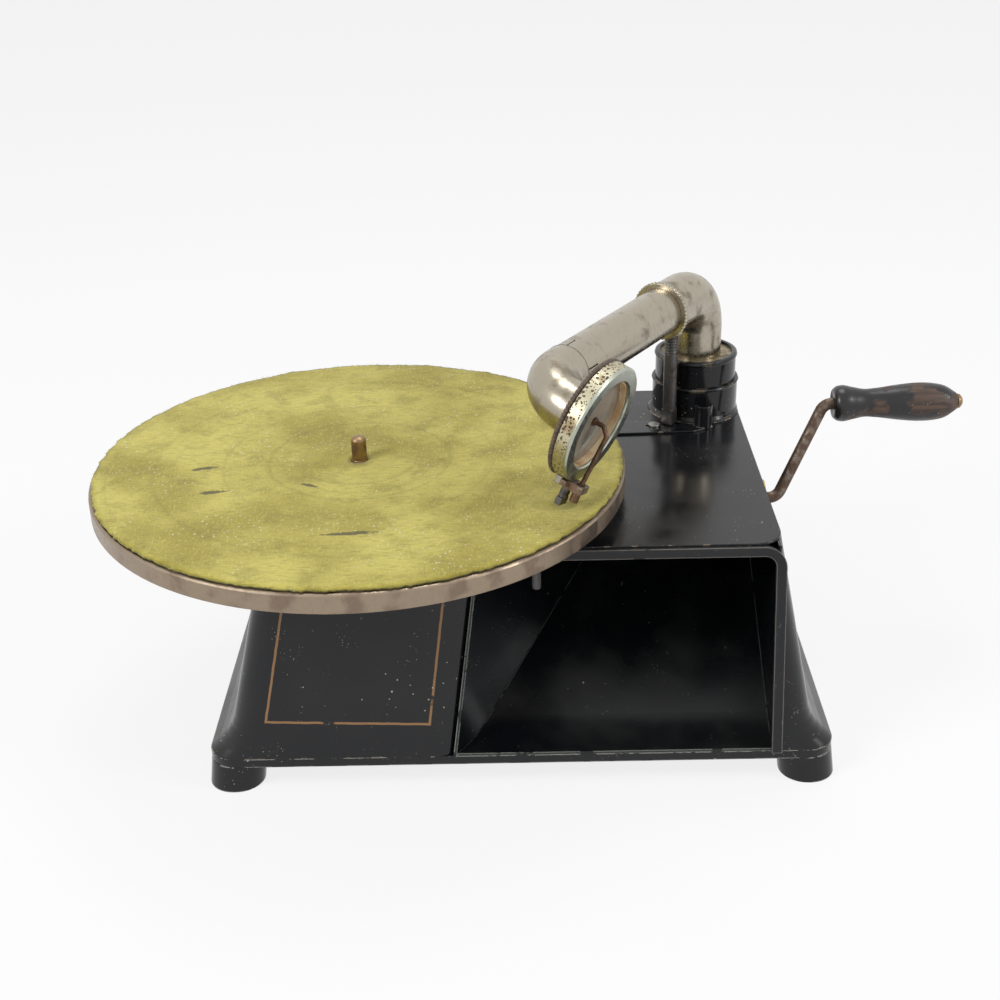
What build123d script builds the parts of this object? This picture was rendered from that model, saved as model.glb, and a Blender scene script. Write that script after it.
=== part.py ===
from build123d import *
import math
import os

# A small table-top disc phonograph: a spring motor under a pressed steel deck, a horn built
# into the right of the case, and a swinging tone-arm.
# Lengths are millimetres and angles degrees. X runs to the right, Y to the back, Z up from
# the ground. The script builds about the record spindle and moves the finished pieces so
# that the origin is under the middle of the whole object.

# Fits
RUNNING_FIT = 0.05          # radial play of a shaft in its bearing
CLEAR = 0.3                 # gap between pieces that pass each other

# Case
CASE_LEFT = 72.0            # spindle to the left edge of the base
CASE_RIGHT = 221.0
CASE_FRONT = 80.0
CASE_BACK = 124.0
FOOT_HEIGHT = 13.0
RING_HEIGHT = 4.5
DECK_HEIGHT = 116.0
SHEET = 1.2
CASE_CORNER = 13.0
SIDE_FLARE = 8.4            # how far the skirt spreads at the foot of each side
FLARE_HEIGHT = 16.0
LEFT_DRAFT = 0.222          # inward lean per unit of height
RIGHT_DRAFT = 0.185
FRONT_RAKE = 0.2
BACK_DRAFT = 0.02
RING_WIDTH = 7.0
FOOT_SIZE = 26.0
FOOT_SPREAD = 1.5
FOOT_WALL = 2.4
PANEL_ROUND = 8.0           # rounded right edge of the front panel
PANEL_RETURN = 26.0

# Horn
MOUTH_LEFT = 44.5
HORN_GAP = 2.5              # between the front panel and the left wall of the horn
THROAT_MARGIN = 5.5         # deck hole beyond the leg of the tone-arm
THROAT_SIDE = 3.5           # horn wall beyond the deck hole
THROAT_DEPTH = 13.0
FLOOR_LIP = 14.0
FLOOR_BEND = 34.0
FLOOR_END_Y = 62.0
HEM_WIDTH = 4.8
HEM_DEPTH = 2.4
HEM_CORNER = 10.0
HEM_DROP = 0.7              # top of the hem below the deck's top

# Platter and spindle
PLATTER_RADIUS = 127.0
PLATTER_RIM = 9.0
PLATTER_SHEET = 1.5
PLATTER_GAP = 7.0
FELT = 2.0
FELT_MARGIN = 1.0
HUB_RADIUS = 16.0
SPINDLE_RADIUS = 4.5
PIN_RADIUS = 3.6
PIN_SEAT = 3.8              # the thicker neck that centres the platter
PIN_HEIGHT = 14.0

# Motor frame
PLATE = 2.0
MOTOR_DROP = 6.0            # deck top to motor plate top
MOTOR_DEPTH = 84.0
MOTOR_SIDE = 3.7            # motor plate inside the deck's left edge
MOTOR_FRONT = 42.0
PLATE_EDGE = 3.2            # motor plate beyond the great wheel
PLATE_CORNER = 8.0
POST_RADIUS = 4.0
HANGER_RADIUS = 2.0
BEARING_RADIUS = 8.0

# Wheels and shafts
GEAR_MODULE = 1.0
GEAR_TIP = 0.85             # tooth above and below the pitch line, in modules
GEAR_ROOT = 1.15
SECOND_TEETH = 48
BARREL_TEETH = 60
WORM_TEETH = 28
CROWN_TEETH = 24
RATCHET_TEETH = 24
SECOND_BEARING = 34.0       # direction of the second shaft from the spindle
BARREL_BEARING = 78.6       # direction of the barrel from the second shaft
SHAFT_RADIUS = 2.5
PIVOT_RADIUS = 1.6
ARBOR_RADIUS = 4.0
BARREL_HEIGHT = 26.0
BARREL_WALL = 1.3
SPRING_STRIP = 1.0
SPRING_PITCH = 2.2
RATCHET_RADIUS = 14.0
CLICK_BEARING = 165.0       # direction of the click's pivot from the barrel
CLICK_LENGTH = 15.0
CLICK_LEAN = 33.0

# Governor and speed lever
GOVERNOR_RADIUS = 2.0
GOVERNOR_LEFT = -20.0
GOVERNOR_RIGHT = 52.0
WORM_RADIUS = 3.8
WORM_LEAN = 0.7             # the worm's round section runs off centre by this much
WORM_HALF = 6.0
WORM_GAP = 0.2
COLLAR_START = 12.0
WEIGHT_X = 28.0
DISC_X = 44.0
DISC_THICK = 1.5
FRICTION_RADIUS = 11.0
SPEED_X = 58.0
SPEED_BACK = 24.3           # speed shaft behind the deck's front edge
SPEED_SHAFT = 2.0
PAD_THICK = 2.5
PAD_REACH = 7.2             # friction pad from the governor's axis
FINGER_X = 83.0
FINGER_FRONT = 6.7          # finger pin in front of the deck's edge
FINGER_LENGTH = 16.5

# Tone-arm
TUBE_RADIUS = 11.9
TUBE_WALL = 1.2
ELBOW_WALL = 1.1
COLLAR_WIDTH = 8.2          # collar beyond the leg of the tone-arm
COLLAR_HEIGHT = 14.5
PILLAR_LEDGE = 1.3          # base tier beyond the collar
PILLAR_STEP = 18.5
PILLAR_FLARE = 2.5
ARM_CORNER_X = 84.8         # where the tube axis meets the axis of the sound box
ARM_CORNER_Y = -36.1
BEND_MARGIN = 8.0           # elbow's middle line beyond the leg's radius
ELBOW_STRAIGHT = 22.5
SEAM_REACH = 25.0           # front seam to the arm corner
ROD_STEP = 8.5              # stop rod beyond the elbow's bend
ROD_RADIUS = 3.5

# Sound box
BOX_RADIUS = 27.8
BOX_FACE = 34.8             # tube axis to the front face
BOX_DROOP = 18.0
BOX_CASE = 7.0
BOX_WALL = 2.4
BEZEL_WIDTH = 6.8
BEZEL = 1.5
ISOLATOR = 3.0
CLAMP_ANGLE = 16.0
MICA = 0.4
GASKET = 0.9
BAR_LIFT = 2.4              # needle bar in front of the box's face
BAR_RADIUS = 1.1
NEEDLE_RADIUS = 0.8
SOCKET_RADIUS = 2.0
SOCKET_START = 2.2          # socket beyond the box's rim
SOCKET_LENGTH = 7.0
SCREW_DEPTH = 3.0           # thumbscrew behind the box's face
SCREW_RADIUS = 1.5
SCREW_REACH = 13.0          # thumbscrew's end beyond the box's rim
SCREW_HALF = 3.6
SCREW_GAP = 0.46            # thumbscrew above the felt at rest

# Brake
BRAKE_LIFT = 0.1
BRAKE_THICK = 1.0
BRAKE_TRAVEL = 2.6
TAB_RADIUS = 4.7
GUIDE_RADIUS = 1.5
GUIDE_STEP = 29.5
GUIDE_GAP = 24.0            # rear guide to the pillar's axis

# Crank
CRANK_DROP = 33.0           # deck top to the crank's axis
CRANK_ROD = 3.0
CRANK_THROW = 48.5
CRANK_LEAN = 21.8
CRANK_EXIT = 9.0            # straight rod outside the case
CRANK_SLANT = 25.0
CRANK_BEND = 7.0
BUSH_RADIUS = 7.0
HANDLE_LENGTH = 64.0
HANDLE_RADIUS = 10.0
RIVET = 2.8

FAR = 300.0                 # longer than the object, for cutting blocks

# Levels
SHELL_Z = FOOT_HEIGHT + RING_HEIGHT
UNDER_DECK = DECK_HEIGHT - SHEET
RIM_BOTTOM = DECK_HEIGHT + PLATTER_GAP
PLATTER_TOP = RIM_BOTTOM + PLATTER_RIM
FELT_TOP = PLATTER_TOP + FELT
PLATE_TOP = DECK_HEIGHT - MOTOR_DROP
PLATE_LOW = PLATE_TOP - PLATE
FLOOR_TOP = PLATE_TOP - MOTOR_DEPTH + PLATE
FLOOR_LOW = FLOOR_TOP - PLATE
CRANK_HEIGHT = DECK_HEIGHT - CRANK_DROP
COLLAR_LOW = DECK_HEIGHT + PILLAR_STEP
COLLAR_TOP = COLLAR_LOW + COLLAR_HEIGHT


def slab(x0, x1, y0, y1, z0, z1):
    return Pos((x0 + x1) / 2, (y0 + y1) / 2, (z0 + z1) / 2) * Box(x1 - x0, y1 - y0, z1 - z0)


def rod(radius, z0, z1, x=0.0, y=0.0):
    return Pos(x, y, (z0 + z1) / 2) * Cylinder(radius, z1 - z0)


def ring(outer, inner, z0, z1, x=0.0, y=0.0):
    return rod(outer, z0, z1, x, y) - rod(inner, z0 - 1, z1 + 1, x, y)


def rod_x(radius, x0, x1, y, z):
    return Pos((x0 + x1) / 2, y, z) * Rot(0, 90, 0) * Cylinder(radius, x1 - x0)


def turned(points):
    """A solid of revolution about Z from points (radius, height)."""
    outline = Plane.XZ * Polyline(*[(r, z) for r, z in points], close=True)
    return revolve(make_face(outline), Axis.Z, 360)


def prism(points, z0, z1):
    return Pos(0, 0, z0) * extrude(make_face(Polyline(*points, close=True)), z1 - z0)


def pipe(path, outer, inner):
    start = Plane(origin=path @ 0, z_dir=path % 0)
    return sweep(start * Circle(outer), path) - sweep(start * Circle(inner), path)


def around(points, turn):
    """Points (radius, share of a step) set round a circle, a step being 360 / turn."""
    places = []
    for k in range(turn):
        for radius, share in points:
            angle = math.radians((k + share) * 360 / turn)
            places.append((radius * math.cos(angle), radius * math.sin(angle)))
    return places


def gear(teeth, width, tip=GEAR_TIP, root=GEAR_ROOT):
    """A spur gear with tapered teeth narrower than their gaps, one tooth on +X."""
    pitch = GEAR_MODULE * teeth / 2
    outer = pitch + tip * GEAR_MODULE
    inner = pitch - root * GEAR_MODULE
    corners = around([(inner, -0.27), (outer, -0.1), (outer, 0.1), (inner, 0.27)], teeth)
    return extrude(make_face(Polyline(*corners, close=True)), width)


def body_edges(z, inset=0.0):
    """Left, right, front and back of the case at a height."""
    rise = max(z - SHELL_Z, 0)
    reach = min(rise / FLARE_HEIGHT, 1)
    flare = SIDE_FLARE * (1 - (1 - reach) ** 2)
    left = -CASE_LEFT + LEFT_DRAFT * rise + flare + inset
    right = CASE_RIGHT - RIGHT_DRAFT * rise - flare - inset
    front = -CASE_FRONT + FRONT_RAKE * rise + inset
    back = CASE_BACK - BACK_DRAFT * rise - inset
    return left, right, front, back


def body_section(z, inset=0.0):
    left, right, front, back = body_edges(z, inset)
    outline = RectangleRounded(right - left, back - front, CASE_CORNER - inset)
    return Pos((left + right) / 2, (front + back) / 2, z) * outline


def body_block(bottom, top, inset=0.0):
    levels = [bottom]
    levels += [SHELL_Z + FLARE_HEIGHT * share for share in (0.25, 0.5, 0.75, 1.0)]
    levels.append(top)
    return loft([body_section(level, inset) for level in levels], ruled=True)


def wall_x(z):
    """X of the right side of the case at a height."""
    return body_edges(z)[1]


# Pillar and horn places
DECK_LEFT, DECK_RIGHT, DECK_FRONT, DECK_REAR = body_edges(DECK_HEIGHT)
LEG_RADIUS = TUBE_RADIUS + ELBOW_WALL
COLLAR_RADIUS = LEG_RADIUS + COLLAR_WIDTH
PILLAR_RADIUS = COLLAR_RADIUS + PILLAR_LEDGE
PILLAR_BACK = PILLAR_RADIUS + 1.0
PILLAR_X = DECK_RIGHT - PILLAR_RADIUS - 0.2
PILLAR_Y = DECK_REAR - PILLAR_BACK
THROAT_RADIUS = LEG_RADIUS + THROAT_MARGIN
THROAT_LEFT = PILLAR_X - THROAT_RADIUS - THROAT_SIDE
THROAT_FRONT = PILLAR_Y - PILLAR_BACK
HORN_RIGHT = DECK_RIGHT - 2 * SHEET - 0.1
HORN_BACK = DECK_REAR - 2 * SHEET - 1.0
DIAGONAL = (THROAT_LEFT - MOUTH_LEFT) / (THROAT_FRONT + CASE_FRONT)

# Motor places. The pinions are the smallest whose roots clear the spindle.
GEAR_UNIT = GEAR_MODULE / 2
PINION_TEETH = math.ceil(2 * (SPINDLE_RADIUS / GEAR_MODULE + GEAR_ROOT))
PINION_RADIUS = GEAR_UNIT * PINION_TEETH
SECOND_REACH = GEAR_UNIT * (PINION_TEETH + SECOND_TEETH)
SECOND_X = SECOND_REACH * math.cos(math.radians(SECOND_BEARING))
SECOND_Y = SECOND_REACH * math.sin(math.radians(SECOND_BEARING))
BARREL_REACH = GEAR_UNIT * (PINION_TEETH + BARREL_TEETH)
BARREL_X = SECOND_X + BARREL_REACH * math.cos(math.radians(BARREL_BEARING))
BARREL_Y = SECOND_Y + BARREL_REACH * math.sin(math.radians(BARREL_BEARING))
GREAT_TIP = GEAR_UNIT * BARREL_TEETH + GEAR_TIP * GEAR_MODULE
BARREL_RADIUS = GEAR_UNIT * BARREL_TEETH - 3 * GEAR_MODULE
GREAT_LOW = FLOOR_TOP + 8
GREAT_TOP = GREAT_LOW + 4
BARREL_TOP = GREAT_TOP + BARREL_HEIGHT
SECOND_LOW = PLATE_LOW - 14
SECOND_TOP = SECOND_LOW + 3
RATCHET_LOW = SECOND_TOP + 2
RATCHET_TOP = RATCHET_LOW + 3
CLICK_REACH = RATCHET_RADIUS + 11
CLICK_X = BARREL_X + CLICK_REACH * math.cos(math.radians(CLICK_BEARING))
CLICK_Y = BARREL_Y + CLICK_REACH * math.sin(math.radians(CLICK_BEARING))
CROWN_RADIUS = GEAR_UNIT * CROWN_TEETH
CROWN_ROOT = CRANK_HEIGHT - PINION_RADIUS - 1.25 * GEAR_MODULE
PINION_START = BARREL_X + CROWN_RADIUS - 1.5
BRACKET_X = PINION_START + 7
MOTOR_LEFT = -DECK_LEFT - MOTOR_SIDE
MOTOR_RIGHT = BARREL_X + GREAT_TIP + PLATE_EDGE
MOTOR_BACK = BARREL_Y + GREAT_TIP + PLATE_EDGE
POST_PLACES = [(-MOTOR_LEFT + 8, -MOTOR_FRONT + 12), (-MOTOR_LEFT + 8, MOTOR_BACK - 8),
               (SPEED_X - 18, -MOTOR_FRONT + 6), (MOTOR_RIGHT - 8, MOTOR_BACK - 8)]
HANGER_PLACES = [(-MOTOR_LEFT + 6, 20.0), (MOTOR_RIGHT - 6, 0.0), (0.0, MOTOR_BACK - 6)]

# Governor and speed lever places
WORM_Z = FLOOR_TOP + 16
WHEEL_TIP = GEAR_UNIT * WORM_TEETH - 0.7 * GEAR_MODULE
GOVERNOR_Y = -(WHEEL_TIP + WORM_RADIUS + WORM_GAP)
SPEED_Y = DECK_FRONT + SPEED_BACK
FINGER_Y = DECK_FRONT - FINGER_FRONT
PAD_Y = GOVERNOR_Y - PAD_REACH

# Tone-arm places. The arm is as high as the thumbscrew needs to clear the felt.
TIP_LEAN = math.radians(CLAMP_ANGLE)
TIP_DROOP = math.radians(BOX_DROOP)
SCREW_DROP = (BOX_RADIUS + SCREW_REACH) * math.cos(TIP_DROOP) * math.cos(TIP_LEAN)
SCREW_DROP += (BOX_FACE - SCREW_DEPTH / 2) * math.sin(TIP_DROOP)
SCREW_DROP += SCREW_HALF * math.cos(TIP_DROOP) * math.sin(TIP_LEAN)
ARM_HEIGHT = FELT_TOP + SCREW_GAP + SCREW_DROP
ARM_REACH = math.hypot(ARM_CORNER_X - PILLAR_X, ARM_CORNER_Y - PILLAR_Y)
ARM_TURN = math.degrees(math.atan2(ARM_CORNER_Y - PILLAR_Y, ARM_CORNER_X - PILLAR_X))
ARM = Pos(PILLAR_X, PILLAR_Y, 0) * Rot(0, 0, ARM_TURN)
TUBE_BORE = TUBE_RADIUS - TUBE_WALL
TUBE_END = ARM_REACH - SEAM_REACH
ELBOW_BEND = LEG_RADIUS + BEND_MARGIN
ELBOW_REACH = ELBOW_BEND + ELBOW_STRAIGHT
ROD_REACH = ELBOW_BEND + ROD_STEP

# Sound box places, in a frame with X along the arm and Z out of the box's face. In the
# clamp's frame X points from the middle of the face to the needle.
BOX = ARM * Pos(ARM_REACH, 0, ARM_HEIGHT) * Rot(-90 - BOX_DROOP, 0, 0)
CLAMP = BOX * Rot(0, 0, 90 - CLAMP_ANGLE)
BACK_END = BOX_FACE - BOX_CASE - ISOLATOR
BOX_BACK = BACK_END + ISOLATOR
BOX_OPENING = BOX_RADIUS - BEZEL_WIDTH
GASKET_SEAT = BOX_RADIUS - BOX_WALL
MICA_LOW = BOX_BACK + SHEET + GASKET
BAR_LEVEL = BOX_FACE + BAR_LIFT
SCREW_LEVEL = BOX_FACE - SCREW_DEPTH

# Brake places
BRAKE_Z = DECK_HEIGHT + BRAKE_LIFT
BRAKE_TOP = BRAKE_Z + BRAKE_THICK
TAB_X = PILLAR_X + 1.6
TAB_Y = PILLAR_Y - PILLAR_RADIUS - 5.0
PLATE_FRONT = TAB_Y - 8.0
RIM_X = math.sqrt((PLATTER_RADIUS - PLATTER_SHEET) ** 2 - (TAB_Y - 1) ** 2)
GUIDE_X = [PILLAR_X - GUIDE_GAP - GUIDE_STEP, PILLAR_X - GUIDE_GAP]
PLATE_LEFT = min(RIM_X, GUIDE_X[0] - 14) - 16

# Crank places
CRANK_X = wall_x(CRANK_HEIGHT - BUSH_RADIUS) + CRANK_EXIT
SLANT_X = CRANK_X + CRANK_SLANT
HANDLE_START = SLANT_X + CRANK_BEND * math.tan(math.atan2(CRANK_THROW, CRANK_SLANT) / 2) + CLEAR
HANDLE_END = HANDLE_START + HANDLE_LENGTH
RIVET_X = HANDLE_END + 0.4
CRANK = Pos(0, BARREL_Y, CRANK_HEIGHT) * Rot(-CRANK_LEAN, 0, 0)

SHIFT = -(RIVET_X + RIVET - PLATTER_RADIUS) / 2


def diagonal_x(y, gap=0.0):
    """X on the line of the horn's left wall, moved left by a gap square to it."""
    return MOUTH_LEFT + DIAGONAL * (y + CASE_FRONT) - gap * math.hypot(1, DIAGONAL)


def left_of_diagonal(gap, z0, z1):
    return prism([(diagonal_x(-FAR, gap), -FAR), (diagonal_x(FAR, gap), FAR), (-FAR, FAR),
                  (-FAR, -FAR)], z0, z1)


def behind_front(inset, z1):
    """Everything behind the raked front, moved back by an inset."""
    low = -CASE_FRONT + inset
    high = low + FRONT_RAKE * (z1 - SHELL_Z)
    outline = Plane.YZ * Polyline((low, SHELL_Z), (FAR, SHELL_Z), (FAR, z1), (high, z1), close=True)
    return Pos(-FAR, 0, 0) * extrude(make_face(outline), 2 * FAR)


def panel_wedge(inset, gap):
    """The front panel's corner: raked front and diagonal return with a rounded edge."""
    block = behind_front(inset, UNDER_DECK) & left_of_diagonal(gap, 0, DECK_HEIGHT)
    edge_y = -CASE_FRONT + inset + FRONT_RAKE * (UNDER_DECK - SHELL_Z) / 2
    corner = [e for e in block.edges()
              if abs(e.center().Y - edge_y) < 1
              and abs(e.center().X - diagonal_x(e.center().Y, gap)) < 1]
    return fillet(corner, PANEL_ROUND - inset)


def case_shell():
    shell = body_block(SHELL_Z, DECK_HEIGHT) - body_block(SHELL_Z, UNDER_DECK, SHEET)
    reach = HORN_GAP + PANEL_ROUND + 2
    far = -CASE_FRONT - 60
    near = DECK_FRONT + CASE_CORNER
    mouth = prism([(diagonal_x(far, reach), far), (DECK_RIGHT - SHEET, far),
                   (DECK_RIGHT - SHEET, near), (diagonal_x(near, reach), near)],
                  FOOT_HEIGHT, UNDER_DECK)
    corner = panel_wedge(0, HORN_GAP) - panel_wedge(SHEET, HORN_GAP + SHEET)
    corner = corner - left_of_diagonal(reach, 0, DECK_HEIGHT)
    corner = corner & slab(-FAR, FAR, -FAR, DECK_FRONT + PANEL_RETURN, 0, DECK_HEIGHT)
    shell = (shell - mouth) + corner
    low = UNDER_DECK - 5
    top = DECK_HEIGHT + 5
    shell = shell - rod(SPINDLE_RADIUS * 2, low, top)
    shell = shell - rod(THROAT_RADIUS, low, top, PILLAR_X, PILLAR_Y)
    shell = shell - rod(SPEED_SHAFT + RUNNING_FIT, low, top, SPEED_X, SPEED_Y)
    for x in GUIDE_X:
        shell = shell - rod(GUIDE_RADIUS, low, top, x, TAB_Y)
    return shell - rod_x(BUSH_RADIUS, DECK_RIGHT - 20, CASE_RIGHT + 20, BARREL_Y, CRANK_HEIGHT)


def base_ring():
    left, right, front, back = body_edges(SHELL_Z)
    middle = Pos((left + right) / 2, (front + back) / 2)
    outer = RectangleRounded(right - left, back - front, CASE_CORNER)
    inner = RectangleRounded(right - left - 2 * RING_WIDTH, back - front - 2 * RING_WIDTH,
                             CASE_CORNER - RING_WIDTH)
    return Pos(0, 0, FOOT_HEIGHT) * extrude(middle * (outer - inner), RING_HEIGHT)


def foot(side_x, side_y):
    """One pressed foot under a corner of the ring, hollow and open below."""
    left, right, front, back = body_edges(SHELL_Z)
    corner_x = right if side_x > 0 else left
    corner_y = back if side_y > 0 else front

    def outline(z, spread, inset):
        size = FOOT_SIZE - 2 * inset
        centre_x = corner_x - side_x * (FOOT_SIZE / 2 - spread)
        centre_y = corner_y - side_y * (FOOT_SIZE / 2 - spread)
        return Pos(centre_x, centre_y, z) * RectangleRounded(size, size, CASE_CORNER - 0.5 - inset)

    outer = loft([outline(FOOT_HEIGHT, 0, 0), outline(0, FOOT_SPREAD, 0)], ruled=True)
    inner = loft([outline(FOOT_HEIGHT - FOOT_WALL, 0, FOOT_WALL), outline(-1, FOOT_SPREAD, FOOT_WALL)],
                 ruled=True)
    return outer - inner


def horn_plan():
    far = -CASE_FRONT - 60
    plan = make_face(Polyline((diagonal_x(far), far), (HORN_RIGHT, far), (HORN_RIGHT, HORN_BACK),
                              (THROAT_LEFT, HORN_BACK), (THROAT_LEFT, THROAT_FRONT), close=True))
    corner = [v for v in plan.vertices() if v.X > HORN_RIGHT - 1 and v.Y > HORN_BACK - 1]
    return fillet(corner, CASE_CORNER - SHEET - 0.8)


def under_floor(drop):
    """The outline, seen from the side, of all that lies under the horn's floor."""
    low = SHELL_Z + SHEET
    top = UNDER_DECK - THROAT_DEPTH
    near = -CASE_FRONT - 60
    back = CASE_BACK + 60
    line = FilletPolyline((near, low), (-CASE_FRONT + FLOOR_LIP, low), (FLOOR_END_Y, top), (back, top),
                          (back, -60), (near, -60), radius=FLOOR_BEND, close=True)
    face = make_face(line)
    if drop:
        face = offset(face, -drop, kind=Kind.INTERSECTION)
    return Pos(-FAR, 0, 0) * extrude(Plane.YZ * face, 2 * FAR)


def horn_walls():
    """Left, back and right walls as upright sheet round the plan of the horn."""
    plan = horn_plan()
    sheet = offset(plan, SHEET, kind=Kind.INTERSECTION) - plan
    walls = Pos(0, 0, SHELL_Z) * extrude(sheet, UNDER_DECK - SHELL_Z)
    walls = (walls & behind_front(0, UNDER_DECK)) - under_floor(SHEET)
    right = walls & slab(HORN_RIGHT, HORN_RIGHT + SHEET, -FAR, HORN_BACK, 0, DECK_HEIGHT)
    return walls - right, right


def horn_floor():
    inside = Pos(0, 0, FOOT_HEIGHT) * extrude(horn_plan(), DECK_HEIGHT)
    sheet = under_floor(0) - under_floor(SHEET)
    return sheet & inside & behind_front(0, UNDER_DECK)


def mouth_hem():
    """The rolled border along the top and right of the mouth, in the raked front."""
    rake = math.atan(FRONT_RAKE)
    face_plane = Plane(origin=(0, DECK_FRONT, DECK_HEIGHT), x_dir=(1, 0, 0),
                       z_dir=(0, -math.cos(rake), math.sin(rake)))
    drop = (DECK_HEIGHT - SHELL_Z) / math.cos(rake)
    left = diagonal_x(DECK_FRONT)
    right = DECK_RIGHT + 1.0
    outer = Pos((left + right) / 2, -drop / 2 - HEM_DROP) * Rectangle(right - left, drop - HEM_DROP)
    outer = fillet(outer.vertices().sort_by(Axis.X)[-2:].sort_by(Axis.Y)[-1:], HEM_CORNER)
    inner = Pos((left + right) / 2 - HEM_WIDTH, -drop / 2 - HEM_WIDTH - HEM_DROP) * Rectangle(
        right - left, drop)
    inner = fillet(inner.vertices().sort_by(Axis.X)[-2:].sort_by(Axis.Y)[-1:], HEM_CORNER - HEM_WIDTH)
    return extrude(face_plane * (outer - inner), HEM_DEPTH)


def pillar_base():
    """Lower tier of the pillar, flared onto the deck and cut flush with the deck's edges."""
    bore = LEG_RADIUS + 2
    wide = PILLAR_RADIUS + PILLAR_FLARE
    outer = turned([(bore, DECK_HEIGHT), (wide, DECK_HEIGHT),
                    (PILLAR_RADIUS + PILLAR_FLARE / 3, DECK_HEIGHT + PILLAR_FLARE / 3),
                    (PILLAR_RADIUS, DECK_HEIGHT + PILLAR_FLARE), (PILLAR_RADIUS, COLLAR_LOW - 1.5),
                    (PILLAR_RADIUS + 0.6, COLLAR_LOW - 0.8), (PILLAR_RADIUS, COLLAR_LOW),
                    (bore, COLLAR_LOW)])
    deck = slab(DECK_LEFT, DECK_RIGHT, DECK_FRONT, DECK_REAR, DECK_HEIGHT, COLLAR_LOW)
    return Pos(PILLAR_X, PILLAR_Y) * outer & deck


def pillar_collar():
    """Upper tier with a rolled rim and a seat for the swivel ring."""
    bore = LEG_RADIUS + 2
    seat = LEG_RADIUS + 6
    outline = [(bore, COLLAR_LOW), (COLLAR_RADIUS, COLLAR_LOW), (COLLAR_RADIUS, COLLAR_TOP - 2.4),
               (COLLAR_RADIUS + 0.7, COLLAR_TOP - 1.6), (COLLAR_RADIUS + 0.3, COLLAR_TOP - 0.4),
               (COLLAR_RADIUS - 0.8, COLLAR_TOP), (seat, COLLAR_TOP), (seat, COLLAR_TOP - 5),
               (bore, COLLAR_TOP - 5)]
    return Pos(PILLAR_X, PILLAR_Y) * turned(outline)


def swivel_ring():
    return ring(LEG_RADIUS + 6, LEG_RADIUS + RUNNING_FIT, COLLAR_TOP - 5, COLLAR_TOP - 1.5,
                PILLAR_X, PILLAR_Y)


def motor_plate(z0, pivot_holes):
    """A plate with its holes, cut back from the horn at its right front corner."""
    low = z0 - 1
    top = z0 + PLATE + 1
    plate = slab(-MOTOR_LEFT, MOTOR_RIGHT, -MOTOR_FRONT, MOTOR_BACK, z0, z0 + PLATE)
    plate = fillet(plate.edges().filter_by(Axis.Z), PLATE_CORNER)
    plate = plate & left_of_diagonal(HORN_GAP + SHEET + 2 * CLEAR, low, top)
    plate = plate - rod(BEARING_RADIUS, low, top)
    plate = plate - rod(ARBOR_RADIUS - 1 + RUNNING_FIT, low, top, BARREL_X, BARREL_Y)
    plate = plate - rod(SPEED_SHAFT + RUNNING_FIT, low, top, SPEED_X, SPEED_Y)
    for x, y in pivot_holes:
        plate = plate - rod(PIVOT_RADIUS + RUNNING_FIT, low, top, x, y)
    return plate


def motor_top_plate():
    plate = motor_plate(PLATE_LOW, [(SECOND_X, SECOND_Y), (CLICK_X, CLICK_Y)])
    for x, y in HANGER_PLACES:
        plate = plate - rod(HANGER_RADIUS + RUNNING_FIT, PLATE_LOW - 1, PLATE_TOP + 1, x, y)
    return plate


def motor_bottom_plate():
    return motor_plate(FLOOR_LOW, [(SECOND_X, SECOND_Y)])


def motor_posts():
    return [rod(POST_RADIUS, FLOOR_TOP, PLATE_LOW, x, y) for x, y in POST_PLACES]


def motor_hangers():
    """Screws and spacers that hang the motor from the deck."""
    hangers = []
    for x, y in HANGER_PLACES:
        spacer = rod(HANGER_RADIUS * 2, PLATE_TOP, UNDER_DECK, x, y)
        shank = rod(HANGER_RADIUS, PLATE_LOW, PLATE_TOP, x, y)
        head = rod(HANGER_RADIUS + 1.6, PLATE_LOW - 2.4, PLATE_LOW, x, y)
        hangers.append(spacer + shank + head)
    return hangers


def spindle_bearings():
    """The bush in the top plate and the cup with its floor in the bottom plate."""
    flange = BEARING_RADIUS + 2
    bush = rod(BEARING_RADIUS, PLATE_LOW - 3, PLATE_TOP) + rod(flange, PLATE_LOW - 3, PLATE_LOW)
    bush = bush - rod(SPINDLE_RADIUS + RUNNING_FIT, PLATE_LOW - 5, PLATE_TOP + 1)
    cup = rod(BEARING_RADIUS, FLOOR_LOW - 4, FLOOR_TOP) + rod(flange, FLOOR_TOP, FLOOR_TOP + 3)
    cup = cup - rod(SPINDLE_RADIUS + RUNNING_FIT, FLOOR_LOW - 2, FLOOR_TOP + 5)
    return [bush, cup]


def governor_brackets():
    brackets = []
    for x, side in ((GOVERNOR_LEFT, -1), (GOVERNOR_RIGHT, 1)):
        near, far = sorted((x + side * 0.1, x + side * 4))
        block = slab(near, far, GOVERNOR_Y - 3.2, GOVERNOR_Y + 3.2, FLOOR_TOP, WORM_Z + 4)
        hole = rod_x(GOVERNOR_RADIUS / 2 + RUNNING_FIT, near - 1, far + 1, GOVERNOR_Y, WORM_Z)
        brackets.append(block - hole)
    return brackets


def crank_bracket():
    """Block under the top plate that carries the inner end of the crank."""
    half = CRANK_ROD + 4
    block = slab(BRACKET_X, BRACKET_X + 6, BARREL_Y - half, BARREL_Y + half, CRANK_HEIGHT - half, PLATE_LOW)
    bore = rod_x(CRANK_ROD + RUNNING_FIT, BRACKET_X - 1, BRACKET_X + 7, BARREL_Y, CRANK_HEIGHT)
    return block - bore


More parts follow.
